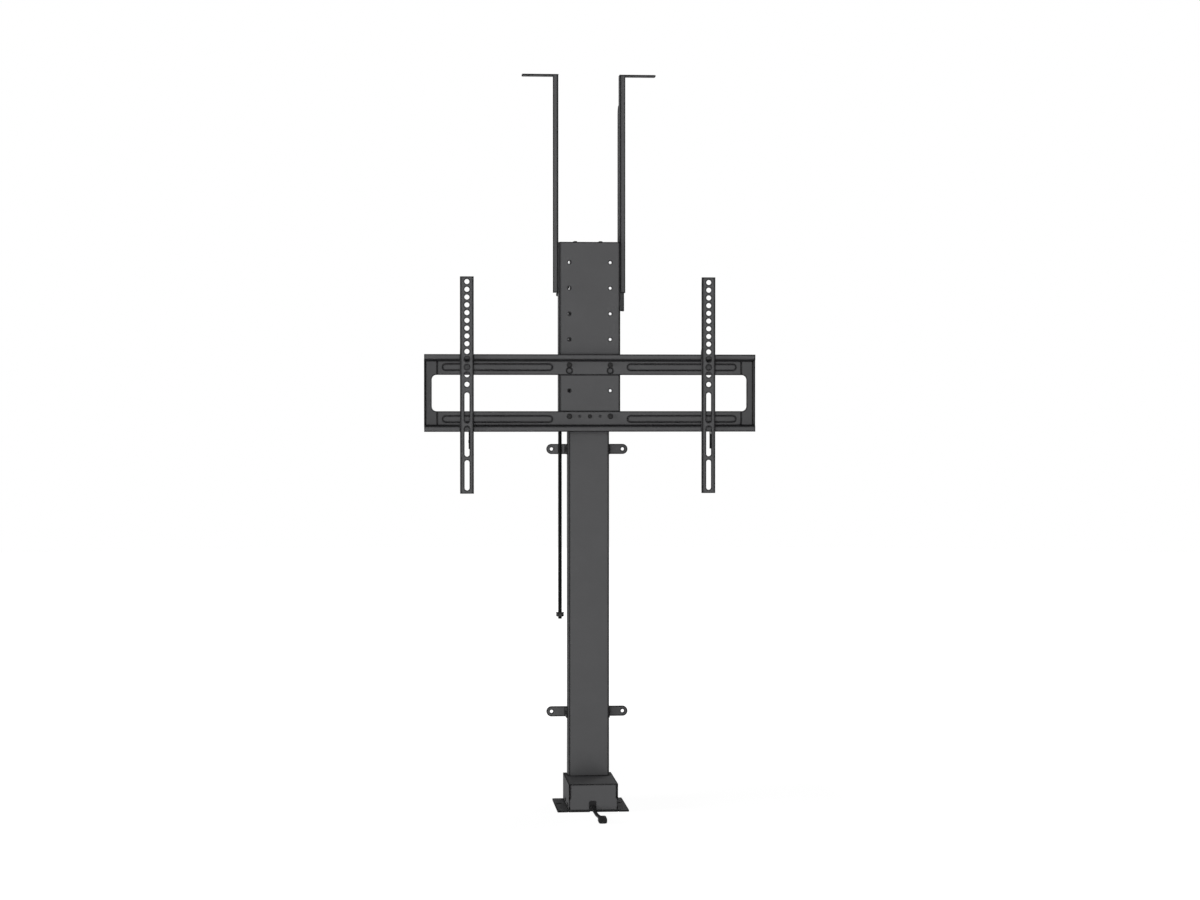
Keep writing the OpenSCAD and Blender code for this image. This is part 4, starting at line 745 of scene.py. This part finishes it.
# %% Tree: tapering rings
RING_SIDES, RIB_SIDES = 32, 10  # along a ring, and round the rib that it is made of
ring_tree, size = new_tree("rings_on_points", {
    "Count": INT, "Step": FLOAT, "Ring radius": FLOAT, "Rib radius": FLOAT, "Taper": FLOAT})
tree = ring_tree
step = add(tree, "ShaderNodeCombineXYZ", {2: size["Step"]})
line = add(tree, "GeometryNodeMeshLine", {"Count": size["Count"], "Offset": step.outputs[0]})
ring_path = add(tree, "GeometryNodeCurvePrimitiveCircle",
                {"Resolution": RING_SIDES, "Radius": size["Ring radius"]})
rib = add(tree, "GeometryNodeCurvePrimitiveCircle",
          {"Resolution": RIB_SIDES, "Radius": size["Rib radius"]})
ring_mesh = add(tree, "GeometryNodeCurveToMesh", {"Curve": ring_path.outputs[0],
                                                  "Profile Curve": rib.outputs[0]})
nth = add(tree, "GeometryNodeInputIndex").outputs[0]
shrink = ("SUBTRACT", 1.0, ("MULTIPLY", nth, size["Taper"]))
rings = add(tree, "GeometryNodeInstanceOnPoints",
            {"Points": line.outputs[0], "Instance": ring_mesh.outputs[0], "Scale": shrink})
finish_tree(tree, size, rings.outputs[0])

# %% Put the ribs on the bush
grow("relief_ribs", ring_tree, [((-1.5, -138.5, 8.5), FRONT)], "root", [],
     **{"Count": 6, "Step": 3 * MM, "Ring radius": 4.95 * MM, "Rib radius": 0.6 * MM,
        "Taper": 0.028, "Finish": plastics["nylon_spark_grain"]})

# %% [markdown]
# ## The light
# The photograph is lit from the front, with the left sides a little lighter than the faces and no
# shadow to speak of. One broad area lamp by the camera does most of it, a lamp at the left lifts
# the left sides, and one behind keeps the back readable. The world shows white to the camera, to
# reflections and through glass, so the background is clean and the lift is lit at a plain level.

# %% Three lamps
def lamp(name, watts, size, place, target):
    """An area lamp that points at a target."""
    data = bpy.data.lights.new(name, "AREA")
    data.energy = watts
    data.size = size
    item = bpy.data.objects.new(name, data)
    item.location = place
    item.rotation_euler = (Vector(target) - Vector(place)).to_track_quat("-Z", "Y").to_euler()
    bpy.context.scene.collection.objects.link(item)


# The name, watts, width in m, place and target
lamp("front_softbox", 228, 2.0, (-0.5, -5.6, 0.8), (0, 0, 0.75))
lamp("left_softbox", 150, 1.8, (-4.2, -0.9, 0.9), (0, 0, 0.7))
lamp("back_softbox", 210, 2.0, (2.7, 4.0, 0.5), (0, 0, 0.75))
print("lamps:", len(bpy.data.lights))

# %% A white world that lights little
ROOM_LIGHT = 0.09  # what the world adds to the lamps


def seen_white(tree):
    """One where the camera, a reflection or a view through glass sees a surface, else zero."""
    path = add(tree, "ShaderNodeLightPath").outputs
    return formula(tree, ("MAXIMUM", ("MAXIMUM", path["Is Camera Ray"], path["Is Glossy Ray"]),
                          path["Is Transmission Ray"]))


world = bpy.data.worlds.new("studio")
bpy.context.scene.world = world
world.use_nodes = True
tree = world.node_tree
tree.nodes.clear()
seen = seen_white(tree)
room = add(tree, "ShaderNodeBackground", {"Color": (1, 1, 1, 1), "Strength": ROOM_LIGHT})
white = add(tree, "ShaderNodeBackground", {"Color": (1, 1, 1, 1), "Strength": 1.0})
both = add(tree, "ShaderNodeMixShader", {0: seen, 1: room.outputs[0], 2: white.outputs[0]})
add(tree, "ShaderNodeOutputWorld", {"Surface": both.outputs[0]})
bpy.context.scene.view_settings.view_transform = "Standard"
print("a white studio with room light", ROOM_LIGHT)

# %% [markdown]
# ## The floor
# The floor is white to the camera, with just enough of its own shading left to hold a faint
# contact shadow. It is stage, not part of the lift.

# %% Lay the floor
FLOOR_R, FLOOR_SIDES = 9.0, 64  # its radius in m
FLOOR_Z = -0.2 * MM  # just under the foot plate, so that the two never share a plane
ring = [(FLOOR_R * math.cos(a), FLOOR_R * math.sin(a), FLOOR_Z)
        for a in (2 * math.pi * k / FLOOR_SIDES for k in range(FLOOR_SIDES))]
studio_floor = new_piece("studio_floor", ring, [tuple(range(FLOOR_SIDES))])
# The masks of short-range shade look for surfaces near a point. The floor is left out of their
# rays, so that they darken folds and corners only.
studio_floor.visible_shadow = False
print("floor radius", FLOOR_R, "m")

# %% Paint the floor
NEAR, FAR = 0.5, 1.6  # m from the lift
GLOW_NEAR, GLOW_FAR = 0.94, 1.1  # dim enough for the shadow to show, and white past doubt
floor_paint = bpy.data.materials.new("floor_paint")
floor_paint.use_nodes = True
tree = floor_paint.node_tree
tree.nodes.clear()
seen = seen_white(tree)
matt = add(tree, "ShaderNodeBsdfDiffuse", {"Color": paint("#d8d8d8")})
dim = add(tree, "ShaderNodeBsdfDiffuse", {"Color": paint("#707070")})
place = add(tree, "ShaderNodeTexCoord").outputs["Object"]
away = add(tree, "ShaderNodeVectorMath", {0: place}, operation="LENGTH").outputs["Value"]
fade = add(tree, "ShaderNodeMapRange", {"Value": away, "From Min": NEAR, "From Max": FAR,
                                        "To Min": GLOW_NEAR, "To Max": GLOW_FAR})
glow = add(tree, "ShaderNodeEmission", {"Color": (1, 1, 1, 1), "Strength": fade.outputs[0]})
bright = add(tree, "ShaderNodeAddShader", {0: dim.outputs[0], 1: glow.outputs[0]})
both = add(tree, "ShaderNodeMixShader", {0: seen, 1: matt.outputs[0], 2: bright.outputs[0]})
add(tree, "ShaderNodeOutputMaterial", {"Surface": both.outputs[0]})
studio_floor.data.materials.append(floor_paint)
print("floor paint:", len(tree.nodes), "nodes")
